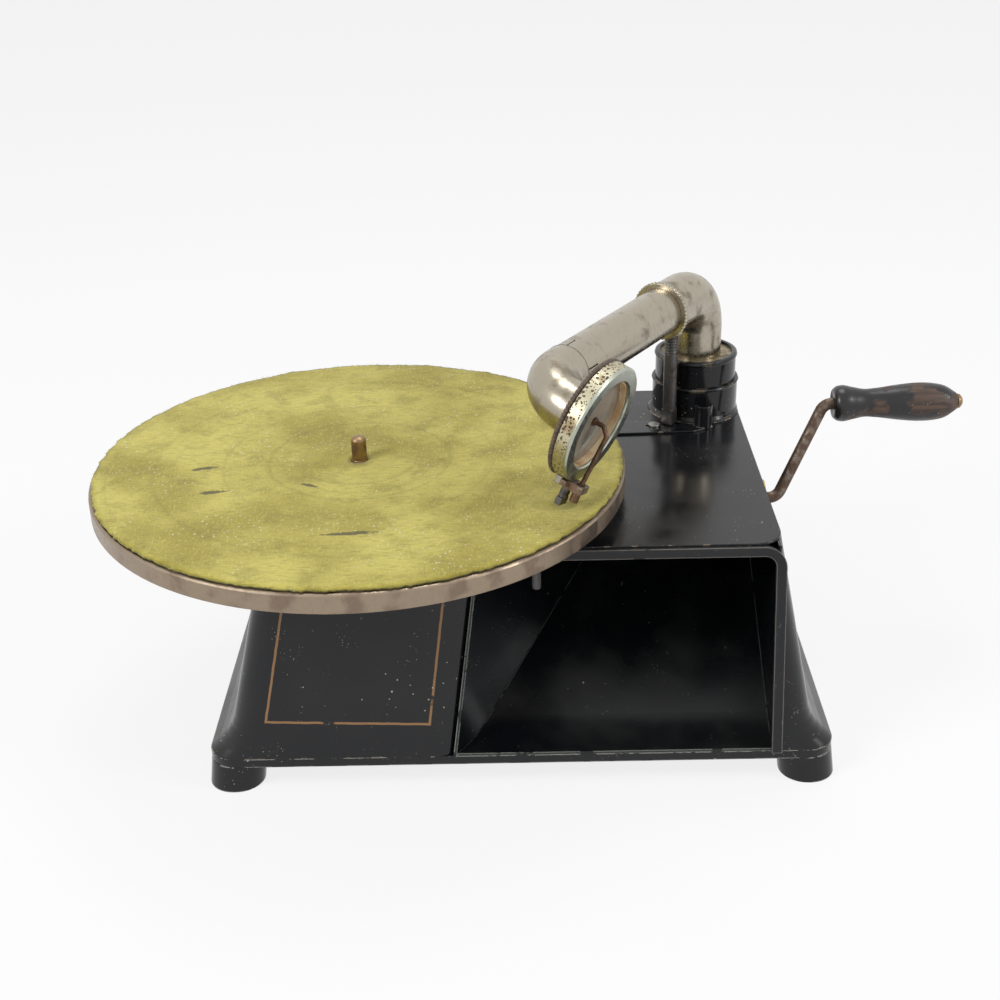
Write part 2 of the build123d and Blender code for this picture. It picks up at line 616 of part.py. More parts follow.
def crank_bush():
    """Flanged bush in the right side, long enough to pass the wall's lean."""
    outer = wall_x(CRANK_HEIGHT - BUSH_RADIUS)
    inner = wall_x(CRANK_HEIGHT) - 5
    body = rod_x(BUSH_RADIUS, inner, outer + 1, BARREL_Y, CRANK_HEIGHT)
    flange = rod_x(BUSH_RADIUS + 2.5, outer + 0.8, outer + 2.2, BARREL_Y, CRANK_HEIGHT)
    bore = rod_x(CRANK_ROD + RUNNING_FIT, inner - 1, outer + 3, BARREL_Y, CRANK_HEIGHT)
    return body + flange - bore


def platter():
    edge = PLATTER_RADIUS
    hole = PIN_SEAT + RUNNING_FIT
    low = PLATTER_TOP - PLATTER_SHEET
    return turned([(hole, low), (edge - PLATTER_SHEET, low), (edge - PLATTER_SHEET, RIM_BOTTOM),
                   (edge, RIM_BOTTOM), (edge, PLATTER_TOP - 1), (edge - 0.4, PLATTER_TOP - 0.3),
                   (edge - 1.2, PLATTER_TOP), (hole, PLATTER_TOP)])


def felt_mat():
    return ring(PLATTER_RADIUS - FELT_MARGIN, PIN_SEAT + CLEAR, PLATTER_TOP, FELT_TOP)


def platter_hub():
    low = DECK_HEIGHT + 3
    top = PLATTER_TOP - PLATTER_SHEET
    flange = top - 3
    hub = ring(HUB_RADIUS / 2 + 2, SPINDLE_RADIUS, low, flange)
    return hub + ring(HUB_RADIUS, SPINDLE_RADIUS, flange, top)


def spindle():
    """The turning spindle with its pinion, up to the domed pin that centres the record."""
    low = FLOOR_LOW - 2 + RUNNING_FIT
    shoulder = PLATTER_TOP - PLATTER_SHEET
    tip = PLATTER_TOP + PIN_HEIGHT
    shaft = turned([(0, low), (SPINDLE_RADIUS, low), (SPINDLE_RADIUS, shoulder), (PIN_SEAT, shoulder),
                    (PIN_SEAT, FELT_TOP), (PIN_RADIUS, FELT_TOP), (PIN_RADIUS, tip - 2),
                    (PIN_RADIUS * 0.86, tip - 0.9), (PIN_RADIUS * 0.5, tip - 0.2), (0, tip)])
    pinion = Pos(0, 0, SECOND_LOW - 1) * Rot(0, 0, SECOND_BEARING) * gear(PINION_TEETH, 5)
    return shaft + pinion


def worm_wheel():
    root = WHEEL_TIP - 1.8 * GEAR_MODULE
    corners = around([(root, -0.3), (WHEEL_TIP, -0.15), (WHEEL_TIP, 0.15), (root, 0.3)], WORM_TEETH)
    wheel = Pos(0, 0, WORM_Z - 2) * extrude(make_face(Polyline(*corners, close=True)), 4)
    wheel = wheel + rod(SPINDLE_RADIUS + 3, WORM_Z + 2, WORM_Z + 6)
    return wheel - rod(SPINDLE_RADIUS, WORM_Z - 5, WORM_Z + 10)


def second_shaft():
    shaft = rod(SHAFT_RADIUS, FLOOR_TOP + WORM_GAP, PLATE_LOW - WORM_GAP)
    shaft = shaft + rod(PIVOT_RADIUS, FLOOR_LOW, PLATE_TOP)
    pinion = Pos(0, 0, GREAT_LOW - 1) * Rot(0, 0, BARREL_BEARING) * gear(PINION_TEETH, 6)
    return Pos(SECOND_X, SECOND_Y) * (shaft + pinion)


def second_gear():
    """Wheel with five round lightening holes on the second shaft."""
    turn = SECOND_BEARING + 180 + 180 / SECOND_TEETH
    wheel = Pos(0, 0, SECOND_LOW) * Rot(0, 0, turn) * gear(SECOND_TEETH, SECOND_TOP - SECOND_LOW)
    wheel = wheel + rod(SHAFT_RADIUS + 3.5, SECOND_LOW - 3, SECOND_LOW)
    wheel = wheel - rod(SHAFT_RADIUS, SECOND_LOW - 5, SECOND_TOP + 1)
    middle = 0.58 * GEAR_UNIT * SECOND_TEETH
    for x, y in around([(middle, 0)], 5):
        wheel = wheel - rod(5, SECOND_LOW - 1, SECOND_TOP + 1, x, y)
    return Pos(SECOND_X, SECOND_Y) * wheel


def spring_barrel():
    turn = BARREL_BEARING + 180 + 180 / BARREL_TEETH
    drum = Pos(0, 0, GREAT_LOW) * Rot(0, 0, turn) * gear(BARREL_TEETH, GREAT_TOP - GREAT_LOW)
    drum = drum + ring(BARREL_RADIUS, BARREL_RADIUS - BARREL_WALL, GREAT_TOP, BARREL_TOP)
    drum = drum - rod(ARBOR_RADIUS + RUNNING_FIT, GREAT_LOW - 1, GREAT_TOP + 1)
    return Pos(BARREL_X, BARREL_Y) * drum


def barrel_cover():
    return ring(BARREL_RADIUS - BARREL_WALL, ARBOR_RADIUS + RUNNING_FIT, BARREL_TOP - 1.5, BARREL_TOP,
                BARREL_X, BARREL_Y)


def mainspring():
    """A spiral strip of half circles whose centres alternate by half a pitch."""
    outer = BARREL_RADIUS - BARREL_WALL - 0.2
    first = ARBOR_RADIUS + 3.0
    halves = 2 * int((outer - SPRING_STRIP - first) / SPRING_PITCH)
    step = SPRING_PITCH / 2
    start = outer - SPRING_STRIP - halves * step
    edges_in = []
    edges_out = []
    for k in range(halves):
        side = 1 if k % 2 == 0 else -1
        centre = 0 if k % 2 == 0 else step
        radius = start + k * step
        for reach, group in ((radius, edges_in), (radius + SPRING_STRIP, edges_out)):
            group.append(ThreePointArc((centre + side * reach, 0), (centre, side * reach),
                                       (centre - side * reach, 0)))
    caps = [Line(edges_in[0] @ 0, edges_out[0] @ 0), Line(edges_in[-1] @ 1, edges_out[-1] @ 1)]
    strip = make_face(Wire(edges_in + edges_out + caps))
    return Pos(BARREL_X, BARREL_Y, GREAT_TOP + 1) * extrude(strip, BARREL_HEIGHT - 4)


def winding_arbor():
    arbor = rod(ARBOR_RADIUS, FLOOR_TOP + WORM_GAP, PLATE_LOW - WORM_GAP)
    arbor = arbor + rod(ARBOR_RADIUS - 1, FLOOR_LOW, PLATE_TOP)
    arbor = arbor + rod(ARBOR_RADIUS + 2, GREAT_TOP + 1, BARREL_TOP - 3)
    return Pos(BARREL_X, BARREL_Y) * arbor


def ratchet_wheel():
    corners = around([(RATCHET_RADIUS, 0.0), (RATCHET_RADIUS - 1.6, 0.05)], RATCHET_TEETH)
    wheel = extrude(make_face(Polyline(*corners, close=True)), RATCHET_TOP - RATCHET_LOW)
    wheel = Pos(0, 0, RATCHET_LOW) * wheel - rod(ARBOR_RADIUS, RATCHET_LOW - 1, RATCHET_TOP + 1)
    return Pos(BARREL_X, BARREL_Y) * Rot(0, 0, CLICK_BEARING) * wheel


def crown_gear():
    """Winding wheel with teeth standing on its rim, turned by the crank pinion."""
    wheel = ring(CROWN_RADIUS + 2, ARBOR_RADIUS, CROWN_ROOT - 3.5, CROWN_ROOT)
    height = 1.15 * GEAR_MODULE
    foot_half = 0.13 * math.pi * GEAR_MODULE
    tip_half = 0.04 * math.pi * GEAR_MODULE
    flank = Plane.YZ * Polyline((-foot_half, 0), (foot_half, 0), (tip_half, height),
                                (-tip_half, height), close=True)
    tooth = Pos(CROWN_RADIUS - 0.7, 0, CROWN_ROOT) * extrude(make_face(flank), 2.0)
    for k in range(CROWN_TEETH):
        wheel = wheel + Rot(0, 0, (k + 0.5) * 360 / CROWN_TEETH) * tooth
    return Pos(BARREL_X, BARREL_Y) * wheel


def at_click(shape):
    return Pos(CLICK_X, CLICK_Y) * Rot(0, 0, CLICK_BEARING + 180 + CLICK_LEAN) * shape


def click():
    """The pawl of the ratchet, resting on the crest of a tooth."""
    arm = prism([(-2.5, -2.5), (2, -3), (CLICK_LENGTH, -0.8), (CLICK_LENGTH + 0.6, 0.9), (2, 3),
                 (-2.5, 2.5)], RATCHET_LOW, RATCHET_TOP)
    return at_click(arm + rod(PIVOT_RADIUS, RATCHET_TOP, PLATE_TOP))


def click_spring():
    """Leaf spring on a post that keeps the click on the ratchet."""
    post = rod(2, RATCHET_LOW, PLATE_LOW, -13, 4.9)
    leaf = slab(-12, 5, 3.7, 4.2, RATCHET_LOW, RATCHET_TOP)
    return at_click(post + leaf)


def governor_shaft():
    """Shaft with its worm, a round section that twists about the axis a little off centre."""
    start = GOVERNOR_LEFT + WORM_GAP
    end = GOVERNOR_RIGHT - WORM_GAP
    pivots = rod_x(GOVERNOR_RADIUS / 2, start - 3.7, end + 3.7, 0, 0)
    shaft = rod_x(GOVERNOR_RADIUS, start, end, 0, 0) + pivots
    lobe = Pos(WORM_LEAN, 0, 0) * Circle(WORM_RADIUS - WORM_LEAN).face()
    length = 2 * WORM_HALF
    turns = length / (math.pi * GEAR_MODULE)
    worm = Solid.extrude_linear_with_rotation(lobe, (0, 0, 0), (0, 0, length), 360 * turns)
    worm = Pos(-WORM_HALF, 0, 0) * Rot(0, 90, 0) * worm
    return Pos(0, GOVERNOR_Y, WORM_Z) * (shaft + worm)


def governor_collars():
    """The fixed collar, and the sliding one with the friction disc."""
    fixed = rod_x(5, COLLAR_START, COLLAR_START + 5, GOVERNOR_Y, WORM_Z)
    sliding = rod_x(5, DISC_X - 5, DISC_X, GOVERNOR_Y, WORM_Z)
    disc = rod_x(FRICTION_RADIUS, DISC_X, DISC_X + DISC_THICK, GOVERNOR_Y, WORM_Z)
    hole = rod_x(GOVERNOR_RADIUS, GOVERNOR_LEFT, GOVERNOR_RIGHT, GOVERNOR_Y, WORM_Z)
    return [fixed - hole, sliding + disc - hole]


def around_governor(shape):
    return [Pos(0, GOVERNOR_Y, WORM_Z) * Rot(120 * k, 0, 0) * shape for k in range(3)]


def governor_springs():
    """Three leaf springs bowed out between the collars."""
    low = 5.0
    bow = 7.8
    leaf = 0.4
    start = COLLAR_START + 1
    end = DISC_X - 1
    inner = [(start, low), (start + 4, low), (WEIGHT_X - 5, bow), (WEIGHT_X + 5, bow), (end - 4, low),
             (end, low)]
    outline = inner + [(x, r + leaf) for x, r in reversed(inner)]
    strip = extrude(make_face(Plane.XZ * Polyline(*outline, close=True)), 2, both=True)
    return around_governor(strip)


def governor_weights():
    return around_governor(rod(3, 8.2, 12.2, WEIGHT_X, 0))


def speed_lever():
    """Lever on the deck from its shaft to the finger pin in front of the mouth."""
    low = DECK_HEIGHT + CLEAR
    top = low + 1.5
    length = math.hypot(FINGER_X - SPEED_X, FINGER_Y - SPEED_Y)
    turn = math.degrees(math.atan2(FINGER_Y - SPEED_Y, FINGER_X - SPEED_X))
    strip = slab(0, length, -4, 4, low, top) + rod(5, low, top) + rod(4, low, top, length)
    return Pos(SPEED_X, SPEED_Y) * Rot(0, 0, turn) * strip


def finger_pin():
    """Knurled pin hanging from the lever's end."""
    low = DECK_HEIGHT - FINGER_LENGTH
    pin = rod(2, low, DECK_HEIGHT + CLEAR)
    flute = slab(1.85, 2.4, -0.16, 0.16, low + 0.6, low + 8)
    for k in range(18):
        pin = pin - Rot(0, 0, 20 * k) * flute
    return Pos(FINGER_X, FINGER_Y) * pin


def speed_shaft():
    """Upright shaft with the arm that holds the friction pad to the governor's disc."""
    shaft = rod(SPEED_SHAFT, FLOOR_LOW, DECK_HEIGHT + CLEAR, SPEED_X, SPEED_Y)
    shaft = shaft + rod(SPEED_SHAFT * 2, WORM_Z - 3, WORM_Z + 3, SPEED_X, SPEED_Y)
    low = WORM_Z - 2.5
    top = WORM_Z + 2.5
    pad_x = DISC_X + DISC_THICK + CLEAR + PAD_THICK
    length = math.hypot(pad_x + 1 - SPEED_X, PAD_Y - SPEED_Y)
    turn = math.degrees(math.atan2(PAD_Y - SPEED_Y, pad_x + 1 - SPEED_X))
    arm = Pos(SPEED_X, SPEED_Y) * Rot(0, 0, turn) * slab(0, length, -1.5, 1.5, low, top)
    arm = arm - slab(0, pad_x, -FAR, FAR, 0, FAR)
    return shaft + arm + slab(pad_x, pad_x + 1.5, PAD_Y - 3, PAD_Y + 2.4, low, top)


def friction_pad():
    near = DISC_X + DISC_THICK + CLEAR
    return rod_x(2.4, near, near + PAD_THICK, PAD_Y, WORM_Z)


def rear_elbow():
    """Bent pipe from the pillar to the tube, with a beaded rim and a boss for the rod."""
    bore = TUBE_RADIUS + RUNNING_FIT
    path = FilletPolyline((0, 0, COLLAR_LOW - 4), (0, 0, ARM_HEIGHT), (ELBOW_REACH, 0, ARM_HEIGHT),
                          radius=ELBOW_BEND)
    elbow = pipe(path, LEG_RADIUS, bore)
    elbow = elbow + rod_x(LEG_RADIUS + 1.3, ELBOW_REACH - 3, ELBOW_REACH, 0, ARM_HEIGHT)
    elbow = elbow + ring(LEG_RADIUS + 1.6, bore, COLLAR_TOP - 8, COLLAR_TOP - 5 - RUNNING_FIT * 4)
    boss = rod(ROD_RADIUS + 2, ARM_HEIGHT - LEG_RADIUS - 2.5, ARM_HEIGHT - TUBE_RADIUS + 0.9, ROD_REACH)
    boss = boss - rod_x(bore + 0.2, ELBOW_BEND, ELBOW_REACH + 1, 0, ARM_HEIGHT)
    elbow = elbow + boss - rod_x(bore, ELBOW_REACH - 5, ELBOW_REACH + 1, 0, ARM_HEIGHT)
    rod_top = ARM_HEIGHT - LEG_RADIUS + 0.4
    return ARM * (elbow - rod(ROD_RADIUS, rod_top - 10, rod_top, ROD_REACH))


def tonearm_tube():
    start = ELBOW_BEND + 3
    tube = rod_x(TUBE_RADIUS, start, TUBE_END, 0, ARM_HEIGHT)
    tube = tube - rod_x(TUBE_BORE, start - 1, TUBE_END + 1, 0, ARM_HEIGHT)
    slit_top = slab(TUBE_END - 9, TUBE_END + 1, -0.35, 0.35, ARM_HEIGHT, ARM_HEIGHT + 20)
    slit_side = slab(TUBE_END - 9, TUBE_END + 1, 0, 20, ARM_HEIGHT + 2, ARM_HEIGHT + 2.7)
    return ARM * (tube - slit_top - slit_side)


def stop_rod():
    """Hanging rod with a threaded top and a squared foot."""
    top = ARM_HEIGHT - LEG_RADIUS + 0.4
    thread_low = top - 14
    foot_low = DECK_HEIGHT + 1.6
    foot_top = foot_low + 8
    groove = ROD_RADIUS - 0.5
    stem = rod(ROD_RADIUS, foot_top, thread_low) + rod(groove, thread_low, top)
    for k in range(7):
        level = thread_low + 0.5 + 1.6 * k
        stem = stem + turned([(0, level), (groove, level), (ROD_RADIUS, level + 0.4),
                              (ROD_RADIUS, level + 0.6), (groove, level + 1), (0, level + 1)])
    square = slab(-3, 3, -3, 3, foot_low, foot_top)
    return ARM * Pos(ROD_REACH, 0, 0) * (stem + square)


def front_elbow():
    """Bend from the arm tube into the back of the sound box, free to turn in the tube."""
    bend = SEAM_REACH - 4.5
    inner_start = -SEAM_REACH - 8
    bore = TUBE_BORE - 1.4
    path = FilletPolyline((inner_start, 0, 0), (0, 0, 0), (0, 0, BACK_END), radius=bend)
    outer = FilletPolyline((-SEAM_REACH + 0.2, 0, 0), (0, 0, 0), (0, 0, BACK_END), radius=bend)
    body = sweep(Plane(origin=outer @ 0, z_dir=outer % 0) * Circle(TUBE_RADIUS + 0.3), outer)
    body = body + rod_x(TUBE_BORE - RUNNING_FIT, inner_start, -SEAM_REACH + 1, 0, 0)
    body = body - sweep(Plane(origin=path @ 0, z_dir=path % 0) * Circle(bore), path)
    flange = ring(TUBE_RADIUS + 6, bore, BACK_END - 2.4, BACK_END)
    return BOX * (body + flange)


def isolator_ring():
    """Dark rubber ring between the elbow and the sound box."""
    low = BACK_END
    return BOX * turned([(TUBE_BORE - 1.7, low), (BOX_RADIUS - 1, low), (BOX_RADIUS + 0.4, low + 0.8),
                         (BOX_RADIUS + 0.4, BOX_BACK - 0.6), (BOX_RADIUS - 0.4, BOX_BACK),
                         (TUBE_BORE - 1.7, BOX_BACK)])


def soundbox_case():
    top = BOX_FACE - BEZEL
    cup = rod(BOX_RADIUS, BOX_BACK, top) - rod(GASKET_SEAT, BOX_BACK + SHEET, top + 1)
    return BOX * (cup - rod(6, BOX_BACK - 1, BOX_BACK + 2))


def bezel_ring():
    low = BOX_FACE - BEZEL
    return BOX * turned([(BOX_OPENING, low), (BOX_RADIUS, low), (BOX_RADIUS, BOX_FACE - 0.8),
                         (BOX_RADIUS - 0.8, BOX_FACE), (BOX_OPENING + 0.6, BOX_FACE),
                         (BOX_OPENING, BOX_FACE - 0.6)])


def gaskets():
    inner = BOX_OPENING - 0.5
    return [BOX * ring(GASKET_SEAT, inner, BOX_BACK + SHEET, MICA_LOW),
            BOX * ring(GASKET_SEAT, inner, MICA_LOW + MICA, BOX_FACE - BEZEL)]


def diaphragm():
    return BOX * ring(GASKET_SEAT, BAR_RADIUS + 0.5, MICA_LOW, MICA_LOW + MICA)


def needle_bar():
    """Lever from the clamp to the middle of the diaphragm, hooked at its inner end."""
    socket_low = BOX_RADIUS + SOCKET_START
    socket_end = socket_low + SOCKET_LENGTH
    path = FilletPolyline((socket_end - 0.5, 0, BAR_LEVEL), (3.5, 0, BAR_LEVEL + 1.6),
                          (0, 0, BAR_LEVEL - 1.5), (0, 0, MICA_LOW - 0.5), radius=2.0)
    bar = sweep(Plane(origin=path @ 0, z_dir=path % 0) * Circle(BAR_RADIUS), path)
    washer = MICA_LOW + MICA + CLEAR
    bar = bar + rod(BAR_RADIUS + 0.8, washer, washer + 1)
    bar = bar + rod_x(SOCKET_RADIUS, socket_low, socket_end, 0, BAR_LEVEL)
    return CLAMP * (bar - rod_x(NEEDLE_RADIUS, socket_low + 1, socket_end + 1, 0, BAR_LEVEL))


def needle_clamp():
    """Yoke under the sound box that carries the needle bar and the thumbscrew."""
    near = BOX_RADIUS + 0.6
    far = near + 3.6
    yoke = slab(near, far, -4, 4, BOX_FACE - 8.6, BAR_LEVEL + 2.8)
    yoke = yoke + slab(near, near + 2.4, -6.5, 6.5, SCREW_LEVEL - 2, SCREW_LEVEL + 1)
    yoke = yoke - rod_x(SOCKET_RADIUS + 2 * RUNNING_FIT, near - 1, far + 1, 0, BAR_LEVEL)
    return CLAMP * (yoke - rod_x(SCREW_RADIUS, near - 1, far + 1, 0, SCREW_LEVEL))


def needle_screw():
    """Thumbscrew whose wing starts past the end of the needle's socket, so it turns freely."""
    rim = BOX_RADIUS
    half = SCREW_DEPTH / 2
    shank = rod_x(SCREW_RADIUS - RUNNING_FIT, rim + 0.9, rim + 6.9, 0, SCREW_LEVEL)
    start = rim + SOCKET_START + SOCKET_LENGTH + CLEAR
    neck = rod_x(2.2, rim + 4.7, start + 0.1, 0, SCREW_LEVEL)
    wing = slab(start, rim + SCREW_REACH, -SCREW_HALF, SCREW_HALF, SCREW_LEVEL - half, SCREW_LEVEL + half)
    return CLAMP * (shank + neck + wing)


def brake_plate():
    """Sliding plate with an upturned tab for the stop rod."""
    right = TAB_X + TAB_RADIUS
    plate = prism([(PLATE_LEFT, TAB_Y - 6), (PLATE_LEFT, TAB_Y + 6), (right - 12, TAB_Y + 6),
                   (right, TAB_Y + 1), (right, TAB_Y - 2.6), (TAB_X - 6, PLATE_FRONT),
                   (PLATE_LEFT + 12, PLATE_FRONT - 2)], BRAKE_Z, BRAKE_TOP)
    tab = ring(TAB_RADIUS, TAB_RADIUS - 1, BRAKE_Z, BRAKE_Z + 12.5, TAB_X, TAB_Y)
    front_half = slab(TAB_X - TAB_RADIUS, TAB_X + TAB_RADIUS, TAB_Y - TAB_RADIUS, TAB_Y, 0, FAR)
    plate = plate + (tab & front_half)
    low = BRAKE_Z - 1
    top = COLLAR_LOW
    for x in (PILLAR_X, PILLAR_X - BRAKE_TRAVEL):
        plate = plate - rod(PILLAR_RADIUS + PILLAR_FLARE + 1, low, top, x, PILLAR_Y)
    play = GUIDE_RADIUS + 0.2
    for x in GUIDE_X:
        start = x - BRAKE_TRAVEL - 0.2
        end = x + 0.2
        slot = slab(start, end, TAB_Y - play, TAB_Y + play, low, top)
        slot = slot + rod(play, low, top, start, TAB_Y) + rod(play, low, top, end, TAB_Y)
        plate = plate - slot
    return plate


def brake_guides():
    """Shoulder screws that guide the sliding plate."""
    seat = BRAKE_TOP + 0.1
    screws = []
    for x in GUIDE_X:
        shank = rod(GUIDE_RADIUS, UNDER_DECK, seat, x, TAB_Y)
        screws.append(shank + rod(GUIDE_RADIUS * 2, seat, seat + 0.9, x, TAB_Y))
    return screws


def brake_pad():
    """Leather block that meets the inside of the platter's rim."""
    reach = PLATTER_RADIUS - PLATTER_SHEET - CLEAR
    block = ring(reach, reach - 5, BRAKE_TOP, RIM_BOTTOM + 4)
    block = block & slab(0, FAR, TAB_Y - 5, TAB_Y + 5, 0, FAR)
    return Pos(-BRAKE_TRAVEL, 0, 0) * block


def crank_rod():
    """Cranked rod from the pinion out through the side, with a collar on its bracket."""
    path = FilletPolyline((PINION_START - 0.4, 0, 0), (CRANK_X, 0, 0), (SLANT_X, 0, CRANK_THROW),
                          (RIVET_X, 0, CRANK_THROW), radius=CRANK_BEND)
    wire = sweep(Plane(origin=path @ 0, z_dir=path % 0) * Circle(CRANK_ROD), path)
    collar = rod_x(CRANK_ROD + 2, BRACKET_X + 6.2, BRACKET_X + 10, 0, 0)
    return CRANK * (wire + (collar - rod_x(CRANK_ROD - 0.5, BRACKET_X, BRACKET_X + 20, 0, 0)))


def crank_pinion():
    start = PINION_START - 0.4
    teeth = Pos(start, 0, 0) * Rot(0, 90, 0) * gear(PINION_TEETH, 3.6, 0.55, 1.2)
    hub = rod_x(PINION_RADIUS - 1.2 * GEAR_MODULE, start + 3.6, BRACKET_X - 0.2, 0, 0)
    bored = teeth + hub - rod_x(CRANK_ROD, start - 1, BRACKET_X, 0, 0)
    return Pos(0, BARREL_Y, CRANK_HEIGHT) * bored


def crank_handle():
    """Turned wooden grip: a bulb, a waist by the rod and a domed end."""
    bore = CRANK_ROD + 0.1
    profile = [(0.74, 0.0), (0.86, 0.02), (0.94, 0.06), (0.84, 0.16), (0.73, 0.25), (0.76, 0.34),
               (0.92, 0.53), (1.0, 0.69), (0.96, 0.81), (0.8, 0.91), (0.56, 0.97), (0.42, 1.0)]
    outline = [(bore, 0)] + [(r * HANDLE_RADIUS, z * HANDLE_LENGTH) for r, z in profile]
    outline.append((bore, HANDLE_LENGTH))
    return CRANK * Pos(HANDLE_START, 0, CRANK_THROW) * Rot(0, 90, 0) * turned(outline)


def handle_rivet():
    cap = turned([(0, 0), (3.8, 0), (3.6, 1.2), (2.2, 2.4), (0, RIVET)])
    return CRANK * Pos(RIVET_X, 0, CRANK_THROW) * Rot(0, 90, 0) * cap


def save(name, shape):
    pieces = shape if isinstance(shape, list) else [shape]
    solids = [solid for piece in pieces for solid in piece.solids()]
    placed = [Pos(SHIFT, 0, 0) * solid for solid in solids]
    whole = placed[0] if len(placed) == 1 else Compound(placed)
    export_step(whole, os.path.join("parts", name + ".step"))


def main():
    os.makedirs("parts", exist_ok=True)
    left_wall, right_wall = horn_walls()
    save("case_shell", case_shell())
    save("base_ring", base_ring())
    save("corner_feet", [foot(x, y) for x in (-1, 1) for y in (-1, 1)])
    save("horn_left_wall", left_wall)
    save("horn_right_wall", right_wall)
    save("horn_floor", horn_floor())
    save("mouth_hem", mouth_hem())
    save("pillar_base", pillar_base())
    save("pillar_collar", pillar_collar())
    save("swivel_ring", swivel_ring())
    save("motor_top_plate", motor_top_plate())
    save("motor_bottom_plate", motor_bottom_plate())
    save("motor_posts", motor_posts())
    save("motor_hangers", motor_hangers())
    save("spindle_bearings", spindle_bearings())
    save("governor_brackets", governor_brackets())
    save("crank_bracket", crank_bracket())
    save("crank_bush", crank_bush())
    save("brake_guides", brake_guides())
    save("click_spring", click_spring())
    save("platter", platter())
    save("felt_mat", felt_mat())
    save("platter_hub", platter_hub())
    save("spindle", spindle())
    save("worm_wheel", worm_wheel())
    save("second_shaft", second_shaft())
    save("second_gear", second_gear())
    save("spring_barrel", spring_barrel())
    save("barrel_cover", barrel_cover())
    save("mainspring", mainspring())
    save("winding_arbor", winding_arbor())
    save("ratchet_wheel", ratchet_wheel())
    save("crown_gear", crown_gear())
    save("click", click())
    save("governor_shaft", governor_shaft())
    save("governor_collars", governor_collars())
    save("governor_springs", governor_springs())
    save("governor_weights", governor_weights())
    save("speed_lever", speed_lever())
    save("finger_pin", finger_pin())
    save("speed_shaft", speed_shaft())
    save("friction_pad", friction_pad())
    save("rear_elbow", rear_elbow())
    save("tonearm_tube", tonearm_tube())
    save("stop_rod", stop_rod())
    save("front_elbow", front_elbow())
    save("isolator_ring", isolator_ring())
    save("soundbox_case", soundbox_case())
    save("bezel_ring", bezel_ring())
    save("gaskets", gaskets())
    save("diaphragm", diaphragm())
    save("needle_bar", needle_bar())
    save("needle_clamp", needle_clamp())
    save("needle_screw", needle_screw())
    save("brake_plate", brake_plate())
    save("brake_pad", brake_pad())
    save("crank_rod", crank_rod())
    save("crank_pinion", crank_pinion())
    save("crank_handle", crank_handle())
    save("handle_rivet", handle_rivet())


main()
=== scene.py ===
# %% [markdown]
# A disc phonograph: a black japanned case with a felted turntable, and a nickel tone-arm with its sound box.
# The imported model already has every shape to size. This file adds finishes to it, and new pieces
# where cloth, beads or a smooth curve need more than the model holds.

import bpy
import numpy as np
from mathutils import Matrix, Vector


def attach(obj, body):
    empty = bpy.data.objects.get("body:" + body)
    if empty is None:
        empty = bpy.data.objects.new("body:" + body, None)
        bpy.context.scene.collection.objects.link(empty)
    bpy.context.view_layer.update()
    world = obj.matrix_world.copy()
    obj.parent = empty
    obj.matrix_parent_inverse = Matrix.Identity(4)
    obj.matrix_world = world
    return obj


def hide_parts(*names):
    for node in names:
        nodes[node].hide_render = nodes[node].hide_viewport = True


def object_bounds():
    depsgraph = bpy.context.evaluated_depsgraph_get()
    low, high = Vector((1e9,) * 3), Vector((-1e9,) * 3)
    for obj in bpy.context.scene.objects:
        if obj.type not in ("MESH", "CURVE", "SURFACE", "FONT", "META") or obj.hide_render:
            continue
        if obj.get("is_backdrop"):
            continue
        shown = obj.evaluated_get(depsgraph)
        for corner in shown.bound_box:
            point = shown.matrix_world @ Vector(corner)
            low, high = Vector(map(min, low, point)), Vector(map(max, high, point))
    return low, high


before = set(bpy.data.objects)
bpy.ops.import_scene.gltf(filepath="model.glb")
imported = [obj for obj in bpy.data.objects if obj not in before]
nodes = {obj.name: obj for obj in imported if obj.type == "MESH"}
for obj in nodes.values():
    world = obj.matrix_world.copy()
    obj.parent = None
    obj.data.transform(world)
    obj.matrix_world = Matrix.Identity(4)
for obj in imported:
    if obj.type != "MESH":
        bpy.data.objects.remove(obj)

cad_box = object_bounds()
MM = 0.001

# %% [markdown]
# The camera stands in front, above the case, and looks down at the turntable. Its place and its
# turns were fitted to the photograph: a small turn aside, a tilt of 26 degrees and a slight roll.
# The three turns give three axes, and these are the columns of the camera's matrix.

# %% Camera
YAW, PITCH, ROLL = np.radians([-0.73, 26.37, -1.44])
EYE = (-0.01527, -0.6517, 0.4335)
camera_data = bpy.data.cameras.new("camera")
camera_data.lens, camera_data.sensor_width, camera_data.sensor_fit = 53.95, 36.0, "HORIZONTAL"
camera = bpy.data.objects.new("camera", camera_data)
bpy.context.scene.collection.objects.link(camera)
forward = np.array([np.sin(YAW) * np.cos(PITCH), np.cos(YAW) * np.cos(PITCH), -np.sin(PITCH)])
level = np.array([np.cos(YAW), -np.sin(YAW), 0.0])
upward = np.cross(level, forward)
right = np.cos(ROLL) * level + np.sin(ROLL) * upward
up = np.cos(ROLL) * upward - np.sin(ROLL) * level
pose = np.eye(4)
pose[:3, 0], pose[:3, 1], pose[:3, 2], pose[:3, 3] = right, up, -forward, EYE
camera.matrix_world = Matrix(pose.tolist())
bpy.context.scene.camera = camera
print("camera at", EYE)

# %% [markdown]
# A material is a small sum over a surface: so much dust, so much wear. Written as nodes it is long,
# so a socket is wrapped in a class whose plus, minus and times add Math nodes. One method makes every
# other node: it takes the type, the settings, which come first, and the sockets' values or links.

